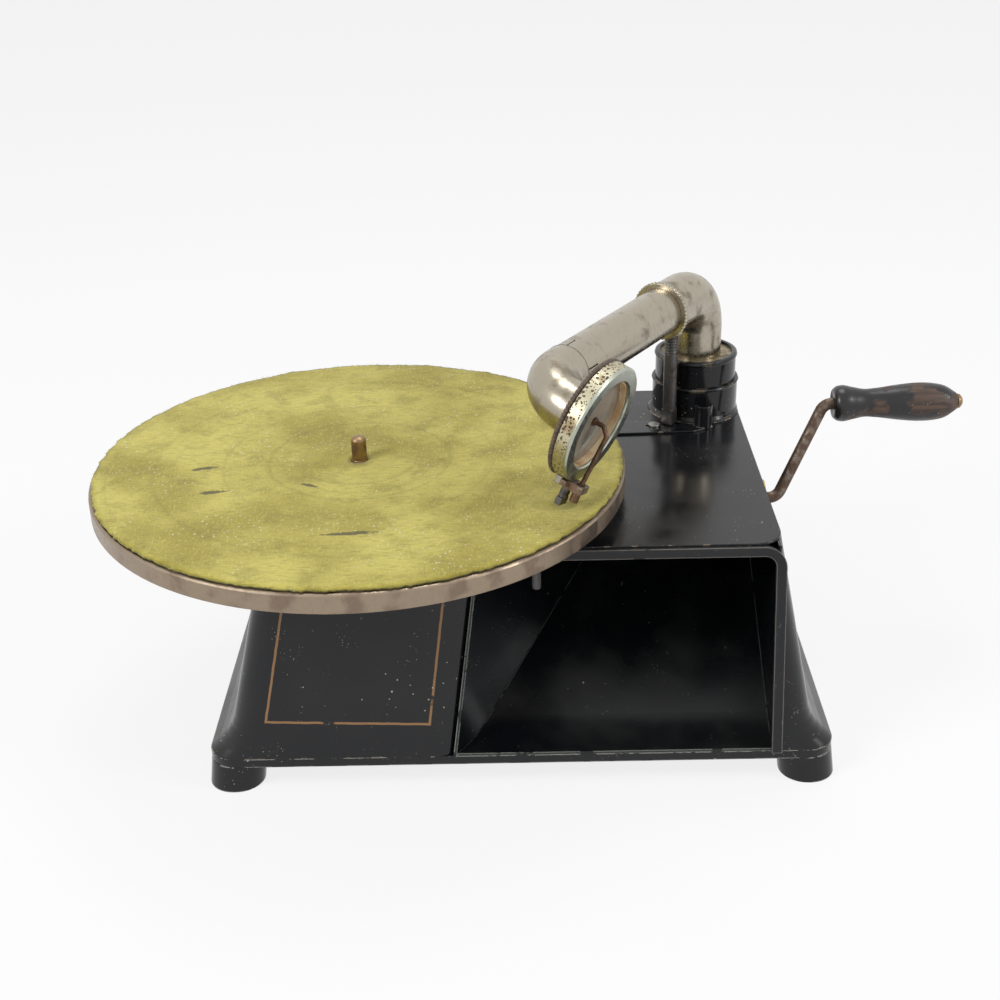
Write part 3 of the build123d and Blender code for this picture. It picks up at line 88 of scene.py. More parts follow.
# %% Sockets as numbers
class Wire:
    """An output socket in a tree. Arithmetic on it adds a Math node and gives that node's output."""

    def __init__(self, tree, socket):
        self.tree, self.socket = tree, socket

    def _math(self, operation, *inputs):
        return self.tree.add("Math", {"operation": operation}, dict(enumerate(inputs)))

    def __add__(self, other):
        return self._math("ADD", self, other)

    def __sub__(self, other):
        return self._math("SUBTRACT", self, other)

    def __rsub__(self, other):
        return self._math("SUBTRACT", other, self)

    def __mul__(self, other):
        return self._math("MULTIPLY", self, other)

    def most(self, other):
        return self._math("MAXIMUM", self, other)

    def size(self):
        return self._math("ABSOLUTE", self)

    __radd__, __rmul__ = __add__, __mul__


# %% One maker of nodes
class Tree:
    """A material's or the world's node tree, emptied, with one method that adds nodes."""

    def __init__(self, owner):
        owner.use_nodes = True
        self.nodes, self.links = owner.node_tree.nodes, owner.node_tree.links
        self.nodes.clear()

    def add(self, kind, settings=None, inputs=None, out=0):
        """Adds ShaderNode + kind, sets it up, gives its sockets values or links, returns one output."""
        made = self.nodes.new("ShaderNode" + kind)
        for name, value in (settings or {}).items():
            setattr(made, name, value)
        for key, value in (inputs or {}).items():
            if isinstance(value, Wire):
                self.links.new(value.socket, made.inputs[key])
            else:
                made.inputs[key].default_value = value
        return Wire(self, made.outputs[out]) if made.outputs else made

    def place(self, stretch=(1, 1, 1), shift=(0, 0, 0), turn=(0, 0, 0)):
        """Object coordinates in metres, moved, turned and stretched."""
        inputs = {"Vector": self.add("TexCoord", out="Object"), "Location": shift}
        return self.add("Mapping", None, {**inputs, "Rotation": turn, "Scale": stretch})

    def noise(self, scale, detail=4.0, vector=None):
        """Cloudy values about one half, with so many clouds a metre."""
        inputs = {"Vector": vector or self.place(), "Scale": scale, "Detail": detail}
        return self.add("TexNoise", None, inputs)

    def cells(self, scale):
        """Distance to the nearest of many scattered points, so many a metre."""
        return self.add("TexVoronoi", None, {"Vector": self.place(), "Scale": scale})

    def ramp(self, value, low, high):
        """0 below low, 1 above high, and a soft step between. low may be the larger one."""
        inputs = {"Value": value, "From Min": low, "From Max": high}
        return self.add("MapRange", {"interpolation_type": "SMOOTHSTEP"}, inputs)

    def mix(self, mask, first, second):
        """The first colour where mask is 0 and the second where it is 1."""
        settings = {"data_type": "RGBA", "clamp_factor": True}
        return self.add("Mix", settings, {0: mask, 6: first, 7: second}, out=2)

    def edges(self, radius):
        """The normal rounded over edges, and a mask that is 1 on sharp edges."""
        soft = self.add("Bevel", {"samples": 4}, {"Radius": radius})
        flat = self.add("NewGeometry", out="Normal")
        along = self.add("VectorMath", {"operation": "DOT_PRODUCT"}, {0: soft, 1: flat}, out="Value")
        return soft, self.ramp(along, 0.985, 0.86)

    def specks(self, scale, largest, share):
        """Small round dots of mixed size: a cell's centre counts where a cloud is thick enough."""
        middle = 1.0 - share
        cloud = self.ramp(self.noise(scale * 0.11, 3.0), middle - 0.14, middle + 0.14)
        return self.ramp(self.cells(scale) - cloud * largest, 0.025, -0.005)

    def scratches(self, scale, turn, share):
        """Long thin streaks: noise stretched along one turned direction and cut off high."""
        line = self.noise(scale, 2.0, self.place((1.0, 0.03, 1.0), turn=turn))
        return self.ramp(line, 0.76 - share, 0.79 - share)

    def finish(self, base, roughness, height=None, depth=0.0, normal=None, **fixed):
        """The Principled shader. Bump takes a height from 0 to 1 and its depth in metres.
        fixed holds the sockets that are the same all over."""
        if height is not None:
            inputs = {"Height": height, "Distance": depth}
            if normal is not None:
                inputs["Normal"] = normal
            normal = self.add("Bump", None, inputs)
        inputs = {"Base Color": base, "Roughness": roughness}
        if normal is not None:
            inputs["Normal"] = normal
        inputs.update({key.replace("_", " "): value for key, value in fixed.items()})
        self.add("OutputMaterial", None, {"Surface": self.add("BsdfPrincipled", None, inputs)})


def paint(red, green, blue):
    """A colour as a screen shows it, 0 to 255, turned into the linear colour that a shader takes."""
    shown = np.array([red, green, blue]) / 255.0
    return (*np.where(shown < 0.04045, shown / 12.92, ((shown + 0.055) / 1.055) ** 2.4).tolist(), 1.0)


dressed = {}


def dress(material, *names):
    """Gives a finish to nodes of the model by name."""
    for name in names:
        for slot in nodes[name].material_slots:
            slot.material = material
        dressed[name] = material.name


print("grey 128 is", round(paint(128, 128, 128)[0], 3), "in linear light")

# %% [markdown]
# Japan is black lacquer baked on steel. It is very smooth, so it shows as reflections, and age shows
# on it as dust specks, hairline scratches and chips along the edges where bare metal comes through.
# One function makes all its grades. Edges are found with the Bevel node: where its rounded normal
# differs from the plain one, the surface turns a corner, and there the lacquer may be chipped.

# %% Black japan
TAN_CHIP = paint(176, 158, 134)
BLACK = paint(20, 21, 24)


def japan(name, chip=TAN_CHIP, chips=0.5, dust=0.4, gloss=0.13, tint=BLACK, stripe=None):
    """Black lacquer: chips sets how much of the edges is bare, and gloss is its least roughness."""
    material = bpy.data.materials.new(name)
    t = Tree(material)
    rounded, edge = t.edges(0.9 * MM)
    facing = t.add("SeparateXYZ", None, {0: t.add("NewGeometry", out="Normal")}, out="Z")
    film = t.ramp(t.noise(28.0, 6.0), 0.35, 0.75) * t.ramp(facing, -0.3, 0.9)
    specks = t.specks(260.0, 0.13, dust)
    fine = t.specks(620.0, 0.16, dust)
    lines = t.scratches(330.0, (0.3, 0.2, 0.9), 0.02).most(t.scratches(240.0, (0.1, 0.4, 2.2), 0.0))
    worn = edge * t.ramp(t.noise(120.0, 5.0), 0.66 - 0.2 * chips, 0.7 - 0.2 * chips)
    base = t.mix(film * 0.07, tint, paint(120, 118, 112))
    if stripe:
        base = t.mix(stripe(t), base, paint(150, 112, 74))
    base = t.mix(lines * 0.3, base, paint(120, 122, 126))
    base = t.mix(specks.most(fine * 0.6) * 0.8, base, paint(196, 192, 182))
    base = t.mix(worn, base, chip)
    roughness = film * 0.2 + specks * 0.4 + lines * 0.2 + worn * 0.3 + t.noise(60.0) * 0.1 + (gloss - 0.05)
    height = t.noise(300.0, 2.0) * 0.06 - lines * 0.1 - worn * 0.5
    t.finish(base, roughness, height, 0.15 * MM, rounded, Specular_IOR_Level=0.36)
    return material


# %% [markdown]
# A thin bronze line is ruled round the front panel, a little in from its edges. The panel is flat,
# so the line is drawn from the distance to a four-sided figure in X and Z: each side is a straight line,
# and the largest of the four signed distances is 0 exactly on the figure's outline.

# %% Ruled line on the front panel
def ruled_line(t):
    """A mask of the line: the size of the outline's signed distance, under half the line's width."""
    corners = np.array([(-133.6, 35.8), (-57.7, 33.4), (-47.2, 110.0), (-119.0, 110.0)]) * MM
    where = t.add("TexCoord", out="Object")
    x, y, z = (t.add("SeparateXYZ", None, {0: where}, out=k) for k in "XYZ")
    inside = None
    for start, end in zip(corners, np.roll(corners, -1, axis=0)):
        along = (end - start) / np.linalg.norm(end - start)
        away = np.array([along[1], -along[0]])
        distance = x * float(away[0]) + z * float(away[1]) + float(-away @ start)
        inside = distance if inside is None else inside.most(distance)
    wobble = t.noise(180.0, 2.0) * 0.0005 - 0.00025
    broken = t.ramp(t.noise(150.0, 5.0), 0.3, 0.42)
    return t.ramp((inside + wobble).size(), 0.00068, 0.0004) * t.ramp(y, -0.06, -0.065) * broken


# %% Dress the case and the horn
dress(japan("japan_panel", stripe=ruled_line, dust=0.4, gloss=0.15), "case_shell")
dress(japan("japan_base", paint(206, 204, 198), chips=1.0), "base_ring", "corner_feet")
dress(japan("japan_posts", chips=0.7, gloss=0.14), "pillar_base", "pillar_collar", "brake_plate")
horn = japan("japan_horn", paint(150, 156, 146), chips=1.3, dust=0.34, gloss=0.24, tint=paint(12, 15, 18))
dress(horn, "horn_left_wall", "horn_right_wall", "horn_floor")
dress(japan("japan_hem", paint(150, 144, 137), chips=1.7, gloss=0.3), "mouth_hem")
print(len(dressed), "nodes in black japan")

# %% [markdown]
# Bare and plated metal is one recipe with different colours. A clean colour is clouded by a tarnish
# colour, fine streaks run across it, pits are small dark dots, and corners are rubbed bright.
# Clean metal is fully metallic, and less so in pits and heavy tarnish, where oxide covers it.

# %% Metals
PIT = paint(70, 52, 38)


def metal(name, clean, tarnish, cover, clouds, pits, rough, grain=0.4):
    """Old metal: cover is how much tarnish, clouds how many patches a metre, pits the share of dots."""
    material = bpy.data.materials.new(name)
    t = Tree(material)
    rounded, edge = t.edges(0.5 * MM)
    cloud = t.ramp(t.noise(clouds, 7.0), 0.7 - 0.35 * cover, 0.86 - 0.35 * cover)
    streak = t.ramp(t.noise(900.0, 3.0, t.place((1.0, 0.12, 0.5), turn=(0.2, 0.5, 0.6))), 0.42, 0.72)
    dots = t.specks(520.0, 0.34, pits).most(t.specks(900.0, 0.3, pits))
    bright = edge * t.ramp(t.noise(160.0), 0.4, 0.6)
    base = t.mix(cloud * 0.8 + streak * (0.3 * grain), clean, tarnish)
    base = t.mix(bright * 0.5, base, tuple(min(1.0, 1.25 * c) for c in clean))
    base = t.mix(dots * 0.85, base, PIT)
    roughness = cloud * 0.16 + streak * 0.08 + dots * 0.3 + t.noise(400.0) * 0.12 + (rough - 0.08)
    metallic = (cloud * -0.35 - dots * 0.4 + 1.0).most(0.0)
    height = streak * (0.1 * grain) - dots * 0.6 + t.noise(700.0, 2.0) * 0.08
    t.finish(base, roughness, height, 0.12 * MM, rounded, Metallic=metallic)
    return material


# %% Dress the metal parts
nickel = metal("arm_nickel", paint(170, 162, 146), paint(116, 104, 84), 0.5, 90.0, 0.1, rough=0.26)
dress(nickel, "rear_elbow", "tonearm_tube", "front_elbow")
tarnish = metal("platter_tarnish", paint(154, 138, 120), paint(126, 108, 92), 0.7, 70.0, 0.2, rough=0.36)
dress(tarnish, "platter")
pale = metal("box_nickel", paint(196, 190, 164), paint(146, 126, 92), 0.5, 60.0, 0.66, rough=0.4)
dress(pale, "soundbox_case")
bezel = metal("bezel_nickel", paint(176, 180, 166), paint(136, 138, 122), 0.5, 90.0, 0.2, rough=0.3)
dress(bezel, "bezel_ring")
clamp = metal("clamp_steel", paint(150, 144, 132), paint(104, 74, 50), 0.9, 160.0, 0.3, rough=0.45)
dress(clamp, "needle_clamp")
dark = metal("dark_steel", paint(96, 94, 92), paint(60, 50, 42), 0.6, 180.0, 0.2, rough=0.42)
dress(dark, "stop_rod", "needle_screw", "finger_pin", "click_spring", "governor_springs", "mainspring")
dress(metal("brown_steel", paint(112, 88, 70), paint(74, 54, 40), 0.7, 160.0, 0.2, rough=0.45), "needle_bar")
rust = metal("rusty_rod", paint(120, 108, 98), paint(92, 72, 58), 0.9, 210.0, 0.3, rough=0.45, grain=1.0)
dress(rust, "crank_rod", "crank_pinion")
bronze = metal("spindle_bronze", paint(150, 124, 92), paint(92, 68, 46), 0.5, 140.0, 0.15, rough=0.35)
dress(bronze, "spindle", "platter_hub", "handle_rivet")
collar = metal("collar_metal", paint(160, 150, 126), paint(112, 98, 74), 0.8, 150.0, 0.3, rough=0.42)
dress(collar, "swivel_ring")
brass = metal("motor_brass", paint(196, 166, 104), paint(128, 96, 56), 0.5, 90.0, 0.15, rough=0.34)
dress(brass, "spindle_bearings", "worm_wheel", "second_gear", "crank_bush")
dress(brass, "governor_collars", "governor_weights")
steel = metal("motor_steel", paint(168, 166, 160), paint(110, 98, 84), 0.4, 60.0, 0.15, rough=0.36, grain=0.8)
not_metal = {"felt_mat", "isolator_ring", "gaskets", "diaphragm", "crank_handle", "friction_pad", "brake_pad"}
dress(steel, *[name for name in nodes if name not in dressed and name not in not_metal])
print(len(dressed), "nodes dressed so far")

# %% [markdown]
# The diaphragm is a sheet of mica, a clear brown-grey stone that splits into leaves, so it is glossy
# with faint cloudy layers. Rubber tubes hold its edge. The pads of the motor are oiled leather.

# %% Mica, rubber and leather
def soft_matter(name, first, second, scale, rough, bump, pits=0.1, **fixed):
    """Two clouded colours with small dark dots, for stone, rubber and leather. scale is clouds a metre."""
    material = bpy.data.materials.new(name)
    t = Tree(material)
    cloud = t.ramp(t.noise(scale, 6.0), 0.36, 0.66)
    dots = t.specks(600.0, 0.24, pits)
    base = t.mix(dots * 0.5, t.mix(cloud, first, second), paint(54, 44, 36))
    height = t.noise(scale * 6.0, 3.0) * bump - dots * bump
    t.finish(base, cloud * 0.15 + dots * 0.2 + rough, height, 0.2 * MM, **fixed)
    return material


mica = soft_matter("mica", paint(112, 106, 98), paint(146, 134, 116), 50.0, 0.12, 0.06, Coat_Weight=0.4)
dress(mica, "diaphragm")
dress(soft_matter("cream_rubber", paint(222, 198, 158), paint(196, 160, 118), 160.0, 0.5, 0.4), "gaskets")
leather = soft_matter("pad_leather", paint(112, 78, 50), paint(80, 52, 34), 300.0, 0.6, 0.6)
dress(leather, "friction_pad", "brake_pad")
rubber = soft_matter("dark_rubber", paint(74, 62, 54), paint(104, 88, 72), 240.0, 0.5, 0.5, 0.3)
dress(rubber, "isolator_ring")

# %% [markdown]
# The turntable's felt is an old olive cloth, faded yellow on top. Its fibres lie in all directions in its
# plane, so noise stretched in two directions makes the nap, and rings of wear follow the turntable.
# Four dark rubbed streaks lie where the photograph shows them, and white lint is scattered over it.
# Felt scatters light softly, so it is rough, with a little sheen.

# %% Felt
SPINDLE = (-90.272 * MM, 0.0)


def felt_finish():
    """Olive cloth: faded and rubbed from the spindle's axis outwards, with painted shade low on its edge
    where it sits on the rim.
    """
    material = bpy.data.materials.new("olive_felt")
    t = Tree(material)
    centred = t.place(shift=(-SPINDLE[0], -SPINDLE[1], 0.0))
    flat = t.add("VectorMath", {"operation": "MULTIPLY"}, {0: centred, 1: (1.0, 1.0, 0.0)})
    radius = t.add("VectorMath", {"operation": "LENGTH"}, {0: flat}, out="Value")
    nap = t.noise(950.0, 4.0, t.place((0.22, 1.0, 0.4), turn=(0, 0, 0.25)))
    cross = t.noise(1100.0, 3.0, t.place((1.0, 0.3, 0.4), turn=(0, 0, -0.5)))
    cloud = t.noise(22.0, 6.0)
    ring = t.noise(1.0, 4.0, t.add("CombineXYZ", None, {0: radius * 190.0, 1: cloud * 0.9}))
    base = t.mix(t.ramp(cloud, 0.34, 0.64), paint(164, 150, 54), paint(206, 194, 96))
    patch = t.ramp(t.noise(75.0, 7.0), 0.5, 0.66)
    base = t.mix(patch * 0.4, base, paint(140, 128, 44))
    base = t.mix(t.ramp(ring, 0.5, 0.74) * 0.42, base, paint(134, 124, 44))
    base = t.mix(t.ramp(nap, 0.5, 0.68) * 0.42, base, paint(128, 118, 44))
    base = t.mix(t.ramp(cross, 0.52, 0.7) * 0.35, base, paint(222, 212, 124))
    wear = None
    for x, y, turn, length, width in ((2.3, -76.8, 0.1, 13.0, 1.8), (-20.6, -28.2, -0.5, 6.0, 1.6),
                                      (-65.1, -33.6, 0.25, 8.0, 2.2), (-73.0, -7.3, 0.3, 8.0, 1.8)):
        here = t.add("Mapping", {"vector_type": "TEXTURE"}, {
            "Vector": t.add("TexCoord", out="Object"), "Location": (x * MM + SPINDLE[0], y * MM, 0.134),
            "Rotation": (0.0, 0.0, turn), "Scale": (length * MM, width * MM, 0.05)})
        away = t.add("VectorMath", {"operation": "LENGTH"}, {0: here}, out="Value")
        mark = t.ramp(away + t.noise(420.0, 6.0) * 1.4, 1.75, 1.25)
        wear = mark if wear is None else wear.most(mark)
    base = t.mix(wear * 0.85, base, paint(72, 64, 34))
    lint = t.specks(330.0, 0.16, 0.5)
    base = t.mix(lint * 0.7, base, paint(226, 222, 196))
    # Painted shade: the torn edge and its fibres darken towards their bottom, where the felt meets the
    # turntable's rim.
    low = t.add("SeparateXYZ", None, {0: t.add("TexCoord", out="Object")}, out="Z")
    base = t.mix(t.ramp(low, 0.1336, 0.1326), base, paint(100, 94, 34))
    height = nap * 0.6 + cross * 0.5 + t.noise(2600.0, 2.0) * 0.4 - wear * 0.3
    t.finish(base, t.noise(300.0) * 0.1 + 0.88, height, 0.5 * MM, Sheen_Weight=0.15, Sheen_Roughness=0.6)
    return material


felt = felt_finish()
dress(felt, "felt_mat")

# %% [markdown]
# The new pieces are surfaces on a grid of two parameters. One helper turns a grid of points into
# a mesh: each point is joined to the next along both directions, and a direction that closes on
# itself joins its last row to its first. Every piece rides on the body that carries it.

# %% From a grid to a piece
def grid_faces(rows, columns):
    """Faces of a grid whose rows and columns both close: (i, j), (i, j+1), (i+1, j+1), (i+1, j)."""
    i, j = np.meshgrid(np.arange(rows), np.arange(columns), indexing="ij")
    corner = lambda a, b: (a % rows) * columns + b % columns
    around = [corner(i, j), corner(i, j + 1), corner(i + 1, j + 1), corner(i + 1, j)]
    return np.stack(around, -1).reshape(-1, 4)


def piece(name, points, faces, material, body, smooth=True):
    """Puts points, in metres, and faces into an object at the origin that rides on a body."""
    mesh = bpy.data.meshes.new(name)
    mesh.from_pydata(points.reshape(-1, 3), [], faces.tolist())
    mesh.polygons.foreach_set("use_smooth", np.full(len(mesh.polygons), smooth))
    mesh.materials.append(material)
    made = bpy.data.objects.new(name, mesh)
    bpy.context.scene.collection.objects.link(made)
    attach(made, body)
    size = np.ptp(points.reshape(-1, 3), axis=0) / MM
    print(name, len(mesh.polygons), "faces, size in mm", np.round(size, 1))
    return made


def carried_round(along, radius, centre, axis, across):
    """A closed profile turned round an axis: the point at (along, radius) and angle a lies at
    centre + along * axis + radius * (cos a * across + sin a * third direction), in millimetres."""
    axis, across = np.array(axis, float), np.array(across, float)
    third = np.cross(axis, across)
    angle = np.linspace(0.0, 2.0 * np.pi, along.shape[0], endpoint=False)[:, None, None]
    spoke = np.cos(angle) * across + np.sin(angle) * third
    return (np.array(centre) + along[..., None] * axis + radius[..., None] * spoke) * MM


def waves(x, y, length, seed, count=24):
    """Rolling heights from -1 to 1: the mean of sine waves of about one length in random directions."""
    random = np.random.default_rng(seed)
    turn, phase = random.uniform(0.0, 2.0 * np.pi, (2, count))
    pace = 2.0 * np.pi / (length * random.uniform(0.6, 1.8, count))
    inner = (x[..., None] * np.cos(turn) + y[..., None] * np.sin(turn)) * pace + phase
    return np.sin(inner).sum(-1) / np.sqrt(count)


# %% [markdown]
# The felt is one disc, cut by hand, that lies on the turntable. Its edge is torn and fuzzy. It could be a
# flat disc with a bumpy finish, but the edge shows against the rim, so the sheet has real
# thickness: a profile of hole, top, ragged edge and underside is carried round the spindle.

# %% Felt sheet
TURNS, REACH = 480, 46
FELT_HOLE, FELT_RADIUS, EDGE_RADIUS = 4.2, 125.6, 126.0
FELT_TOP, FELT_LOW = 133.75, 132.15
angle = np.linspace(0.0, 2.0 * np.pi, TURNS, endpoint=False)[:, None]
outward = np.linspace(0.0, 1.0, REACH)[None, :]
edge_x, edge_y = EDGE_RADIUS * np.cos(angle), EDGE_RADIUS * np.sin(angle)
ragged = FELT_RADIUS + 0.35 * waves(edge_x, edge_y, 9.0, 3)
ragged += 0.3 * waves(edge_x, edge_y, 2.2, 4)
top_radius = FELT_HOLE + (ragged - FELT_HOLE) * outward
x, y = top_radius * np.cos(angle), top_radius * np.sin(angle)
rounding = 0.5 * np.clip(outward - 0.99, 0, 1) * 100
top = FELT_TOP + 0.12 * waves(x, y, 26.0, 5) + 0.07 * waves(x, y, 5.0, 6) - rounding
low_radius = top_radius[:, ::-1] - 0.5 * outward[:, ::-1]
low = np.full_like(low_radius, FELT_LOW) + 0.05 * waves(x, y, 6.0, 7)[:, ::-1]
felt_points = carried_round(np.hstack([top, low]), np.hstack([top_radius, low_radius]),
                            (SPINDLE[0] / MM, 0.0, 0.0), (0, 0, 1), (1, 0, 0))
felt_sheet = piece("felt_sheet", felt_points, grid_faces(TURNS, 2 * REACH), felt, "turntable")
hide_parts("felt_mat")

# %% [markdown]
# Loose fibres stand out of the torn edge. Each is a thin three-sided strand of four rings that bends
# up or down a little, and all of them are made as one array: strand, ring, side.

# %% Fibres of the torn edge
STRANDS, RINGS, SIDES = 1500, 4, 3
ROOT_RADIUS = 125.0
random = np.random.default_rng(11)
root = random.uniform(0.0, 2.0 * np.pi, STRANDS)
lean = root + random.normal(0.0, 0.8, STRANDS)
length = random.uniform(0.5, 1.9, STRANDS)
step = np.linspace(0.0, 1.0, RINGS)[None, :]
line_x = ROOT_RADIUS * np.cos(root)[:, None] + (length * np.cos(lean))[:, None] * step
line_y = ROOT_RADIUS * np.sin(root)[:, None] + (length * np.sin(lean))[:, None] * step
start_z = random.uniform(132.4, 133.6, STRANDS)[:, None]
line_z = start_z + random.normal(0.0, 0.35, STRANDS)[:, None] * step ** 2
side = np.linspace(0.0, 2.0 * np.pi, SIDES, endpoint=False)
thick = (0.075 * (1.0 - 0.6 * step))[..., None]
across_x, across_y = -np.sin(lean)[:, None, None], np.cos(lean)[:, None, None]
strand_points = np.stack([line_x[..., None] + thick * np.cos(side) * across_x + SPINDLE[0] / MM,
                          line_y[..., None] + thick * np.cos(side) * across_y,
                          line_z[..., None] + thick * np.sin(side)], -1) * MM
ring, turn = np.meshgrid(np.arange(RINGS - 1), np.arange(SIDES), indexing="ij")
quad = np.stack([ring * SIDES + turn, ring * SIDES + (turn + 1) % SIDES,
                 (ring + 1) * SIDES + (turn + 1) % SIDES, (ring + 1) * SIDES + turn], -1).reshape(-1, 4)
start = (np.arange(STRANDS) * RINGS * SIDES)[:, None, None]
ends = np.array([[2, 1, 0], [RINGS * SIDES - 3, RINGS * SIDES - 2, RINGS * SIDES - 1]])
strand_faces = (quad + start).reshape(-1, 4).tolist() + (ends + start).reshape(-1, 3).tolist()
fibres = piece("felt_fibres", strand_points, np.array(strand_faces, dtype=object), felt, "turntable")

# %% [markdown]
# Between the sound box and the arm sits a ring of rubber whose rim is moulded as a row of fine beads.
# The ring's radius swells and shrinks as it goes round, which is one cosine added to a round profile.

# %% Beaded ring
NORMAL = (0.799118, -0.515676, -0.309017)
TANGENT = (-0.449639, -0.853876, 0.262147)
CORNER = (-5.472, -36.1, 183.0)
BEADS, PER_BEAD = 88, 8
RING_REACH, RING_RADIUS = 26.3, 25.6
angle = np.linspace(0.0, 2.0 * np.pi, BEADS * PER_BEAD, endpoint=False)[:, None]
section = np.linspace(0.0, 2.0 * np.pi, 20, endpoint=False)[None, :]
swell = 0.5 + 0.5 * np.cos(BEADS * angle)
along = RING_REACH - 1.45 * np.sin(section) * (0.82 + 0.18 * swell)
radius = RING_RADIUS + 2.35 * np.cos(section) + 0.4 * swell * np.clip(np.cos(section), 0.0, 1.0)
bead_points = carried_round(along, radius, CORNER, NORMAL, TANGENT)
beads = piece("beaded_ring", bead_points, grid_faces(*along.shape), rubber, "soundbox")
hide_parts("isolator_ring")

# %% [markdown]
# The end of the rear elbow has a milled rim, cut with a fine row of grooves so that fingers can turn it.
# It is the same idea as the beads: a square profile whose outer side carries a wave.

# %% Milled rim
ARM = (-0.542213, -0.840241, 0.0)
ELBOW = (81.406, 98.53, 183.0)
GROOVES = 46
angle = np.linspace(0.0, 2.0 * np.pi, GROOVES * 6, endpoint=False)[:, None]
rim_along = np.array([40.6, 40.6, 41.0, 43.0, 43.4, 43.4])[None, :] + 0.0 * angle
outer = np.array([0.0, 0.8, 1.0, 1.0, 0.8, 0.0])[None, :]
rim_radius = 14.0 + outer * (0.55 + 0.35 * np.cos(GROOVES * angle))
rim_points = carried_round(rim_along[:, ::-1], rim_radius[:, ::-1], ELBOW, ARM, (0, 0, 1))
piece("milled_rim", rim_points, grid_faces(*rim_along.shape), nickel, "tonearm", smooth=False)

# %% [markdown]
# The dome of the sound box slips over the tube, and a dark line of dirt and shadow marks where it ends.
# A hair-thin ring lies in that joint and turns with the dome.

# %% Seam of the dome
SEAM_REACH = 25.0
seam_angle = np.zeros((96, 1))
seam_along = seam_angle + np.array([-0.3, 0.3, 0.3, 0.0, -0.3])[None, :] - SEAM_REACH
seam_radius = seam_angle + np.array([11.6, 11.6, 12.05, 12.32, 12.05])[None, :]
seam_points = carried_round(seam_along, seam_radius, CORNER, ARM, (0, 0, 1))
piece("dome_seam", seam_points, grid_faces(*seam_along.shape), dark, "soundbox")

# %% [markdown]
# The crank's handle is turned wood under black paint, worn to brown wood on its fullest part.
# Its profile has a small bead near the crank's rod and a long swelling. A cubic curve through a few
# measured radii, carried round the handle's axis, gives it without flats.

# %% Handle finish
def worn_paint():
    """Black paint over grained wood: it is worn in patches, and more so along the belly in X."""
    material = bpy.data.materials.new("worn_paint")
    t = Tree(material)
    x = t.add("SeparateXYZ", None, {0: t.add("TexCoord", out="Object")}, out="X")
    belly = t.ramp(x, 0.165, 0.196)
    grain = t.noise(420.0, 5.0, t.place((0.06, 1.0, 1.0)))
    patches = t.noise(90.0, 7.0)
    worn = t.ramp(patches + belly * 0.12, 0.56, 0.64)
    wood = t.mix(t.ramp(grain, 0.35, 0.65), paint(88, 68, 56), paint(54, 42, 36))
    base = t.mix(worn, paint(30, 28, 28), wood)
    base = t.mix(t.specks(420.0, 0.2, 0.4) * 0.7, base, paint(160, 142, 120))
    rough = worn * 0.25 + patches * 0.2 + 0.22
    t.finish(base, rough, grain * 0.3 - worn * 0.5, 0.25 * MM)
    return material


# %% Crank handle
HANDLE_START, HANDLE_LENGTH, HANDLE_RADIUS, HANDLE_BORE = 150.07, 64.0, 10.0, 3.1
HANDLE_AXIS = (0.0, 70.077, 128.031)
STEPS, SPOKES = 90, 72
profile = np.array([(0.0, 0.74), (0.02, 0.86), (0.06, 0.94), (0.16, 0.84), (0.25, 0.73), (0.34, 0.76),
                    (0.53, 0.92), (0.69, 1.0), (0.81, 0.96), (0.91, 0.8), (0.97, 0.56), (1.0, 0.42)])
share = np.linspace(0.0, 1.0, STEPS)
slope = np.gradient(profile[:, 1], profile[:, 0])
k = np.clip(np.searchsorted(profile[:, 0], share, side="right") - 1, 0, len(profile) - 2)
width = profile[k + 1, 0] - profile[k, 0]
u = (share - profile[k, 0]) / width
swelling = ((2 * u**3 - 3 * u**2 + 1) * profile[k, 1] + (u**3 - 2 * u**2 + u) * width * slope[k]
            + (3 * u**2 - 2 * u**3) * profile[k + 1, 1] + (u**3 - u**2) * width * slope[k + 1])
handle_along = HANDLE_START + HANDLE_LENGTH * np.concatenate([share, share[::-1]])
outside = HANDLE_RADIUS * np.minimum(swelling, 1.0)
handle_radius = np.concatenate([outside, np.full(STEPS, HANDLE_BORE)])
rows = np.ones((SPOKES, 1))
handle_points = carried_round(rows * handle_along[::-1], rows * handle_radius[::-1], HANDLE_AXIS,
                              (1, 0, 0), (0, 1, 0))
handle_faces = grid_faces(SPOKES, 2 * STEPS)
handle = piece("grip", handle_points, handle_faces, worn_paint(), "crank_grip")
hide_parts("crank_handle")

# %% [markdown]
# The object stands on a pale floor under three soft lamps and a pale sky. The background is to be
# white without more light on the object, so the sky and most of the floor glow white only for rays
# from the camera and for reflections, which the Light Path node tells apart. The rest of the floor
# is a plain pale colour, and that keeps the shadow.

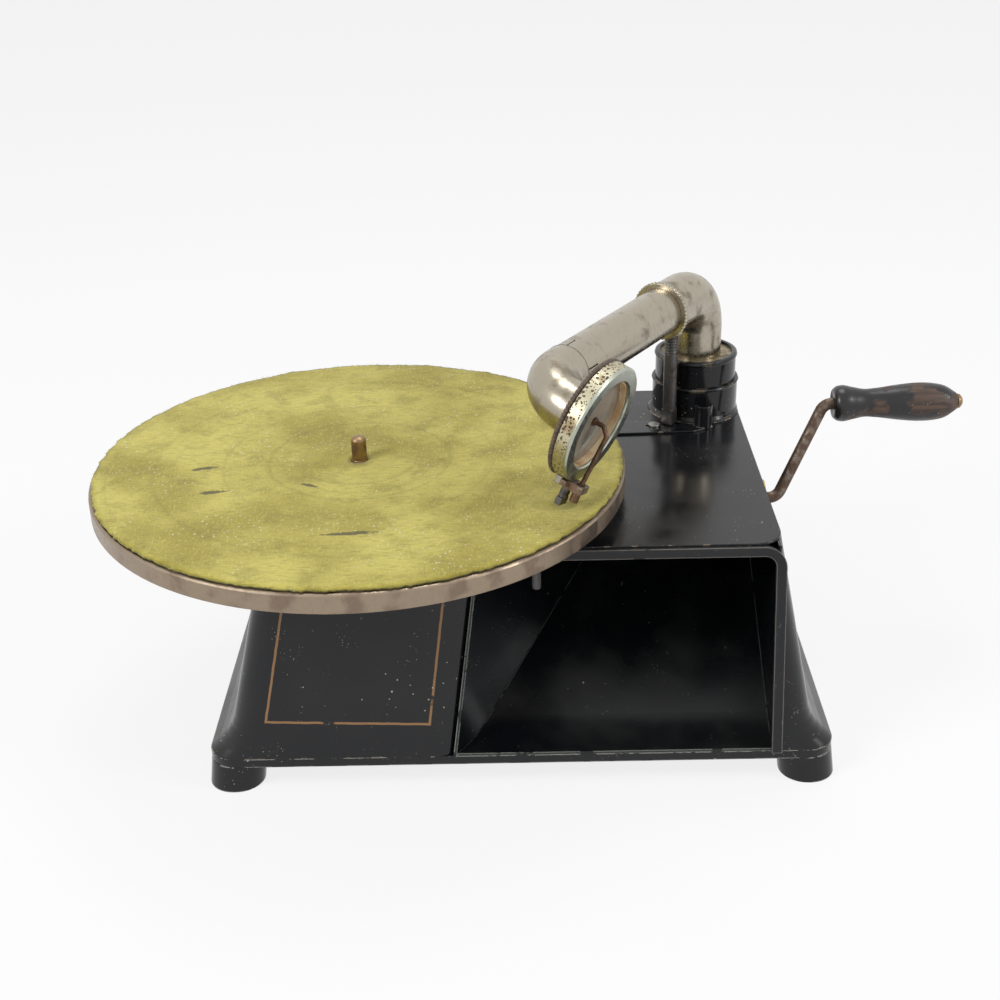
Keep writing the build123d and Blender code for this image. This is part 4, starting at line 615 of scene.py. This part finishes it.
# %% Floor
HALF_FLOOR, FLOOR_GLOW = 8.0, 0.82
floor_mesh = bpy.data.meshes.new("floor")
floor_corners = [(x * HALF_FLOOR, y * HALF_FLOOR, 0.0) for x, y in ((-1, -1), (1, -1), (1, 1), (-1, 1))]
floor_mesh.from_pydata(floor_corners, [], [(0, 1, 2, 3)])
floor = bpy.data.objects.new("floor", floor_mesh)
bpy.context.scene.collection.objects.link(floor)
floor_material = bpy.data.materials.new("floor_white")
floor_mesh.materials.append(floor_material)
floor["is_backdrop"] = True


def seen(t):
    """1 for rays from the camera, off glossy surfaces and through clear ones, and 0 for the rest."""
    rays = [t.add("LightPath", out=k) for k in ("Is Camera Ray", "Is Glossy Ray", "Is Transmission Ray")]
    return rays[0].most(rays[1]).most(rays[2])


t = Tree(floor_material)
diffuse = t.add("BsdfDiffuse", None, {"Color": (0.9, 0.9, 0.9, 1.0)})
glow = t.add("Emission", None, {"Color": (1.0, 1.0, 1.0, 1.0), "Strength": 1.0})
surface = t.add("MixShader", None, {0: seen(t) * FLOOR_GLOW, 1: diffuse, 2: glow})
t.add("OutputMaterial", None, {"Surface": surface})

# %% Sky and lamps
SKY_LIGHT = 0.4
world = bpy.data.worlds.new("pale_sky")
bpy.context.scene.world = world
t = Tree(world)
strength = seen(t) * (1.0 - SKY_LIGHT) + SKY_LIGHT
sky = t.add("Background", None, {"Color": (1, 1, 1, 1), "Strength": strength})
t.add("OutputWorld", None, {"Surface": sky})


def lamp(name, place, aim, size, power):
    """A square soft lamp at place that faces the point aim, both in metres."""
    data = bpy.data.lights.new(name, "AREA")
    data.size, data.energy = size, power
    made = bpy.data.objects.new(name, data)
    bpy.context.scene.collection.objects.link(made)
    back = np.array(place, float) - np.array(aim, float)
    back /= np.linalg.norm(back)
    side = np.cross((0, 0, 1), back)
    side /= np.linalg.norm(side)
    turn = np.eye(4)
    turn[:3, 0], turn[:3, 1], turn[:3, 2], turn[:3, 3] = side, np.cross(back, side), back, place
    made.matrix_world = Matrix(turn.tolist())


lamp("left_lamp", (-1.1, -0.7, 1.0), (0, 0, 0.1), 0.5, 11.0)
lamp("right_lamp", (1.2, -0.4, 0.8), (0, 0, 0.1), 0.4, 7.0)
lamp("top_lamp", (0.0, 0.5, 1.5), (0, 0, 0.1), 0.6, 5.0)
bpy.context.scene.view_settings.view_transform = "Standard"

# %% [markdown]
# Last come the checks: the nodes without a finish are printed, and the dressed model's box is printed beside
# the packed one's.

# %% Finish
print("nodes without a finish:", sorted(set(nodes) - set(dressed)))
visual_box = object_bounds()
boxes = {"cad": [list(corner) for corner in cad_box], "visual": [list(corner) for corner in visual_box]}
print("boxes", boxes)
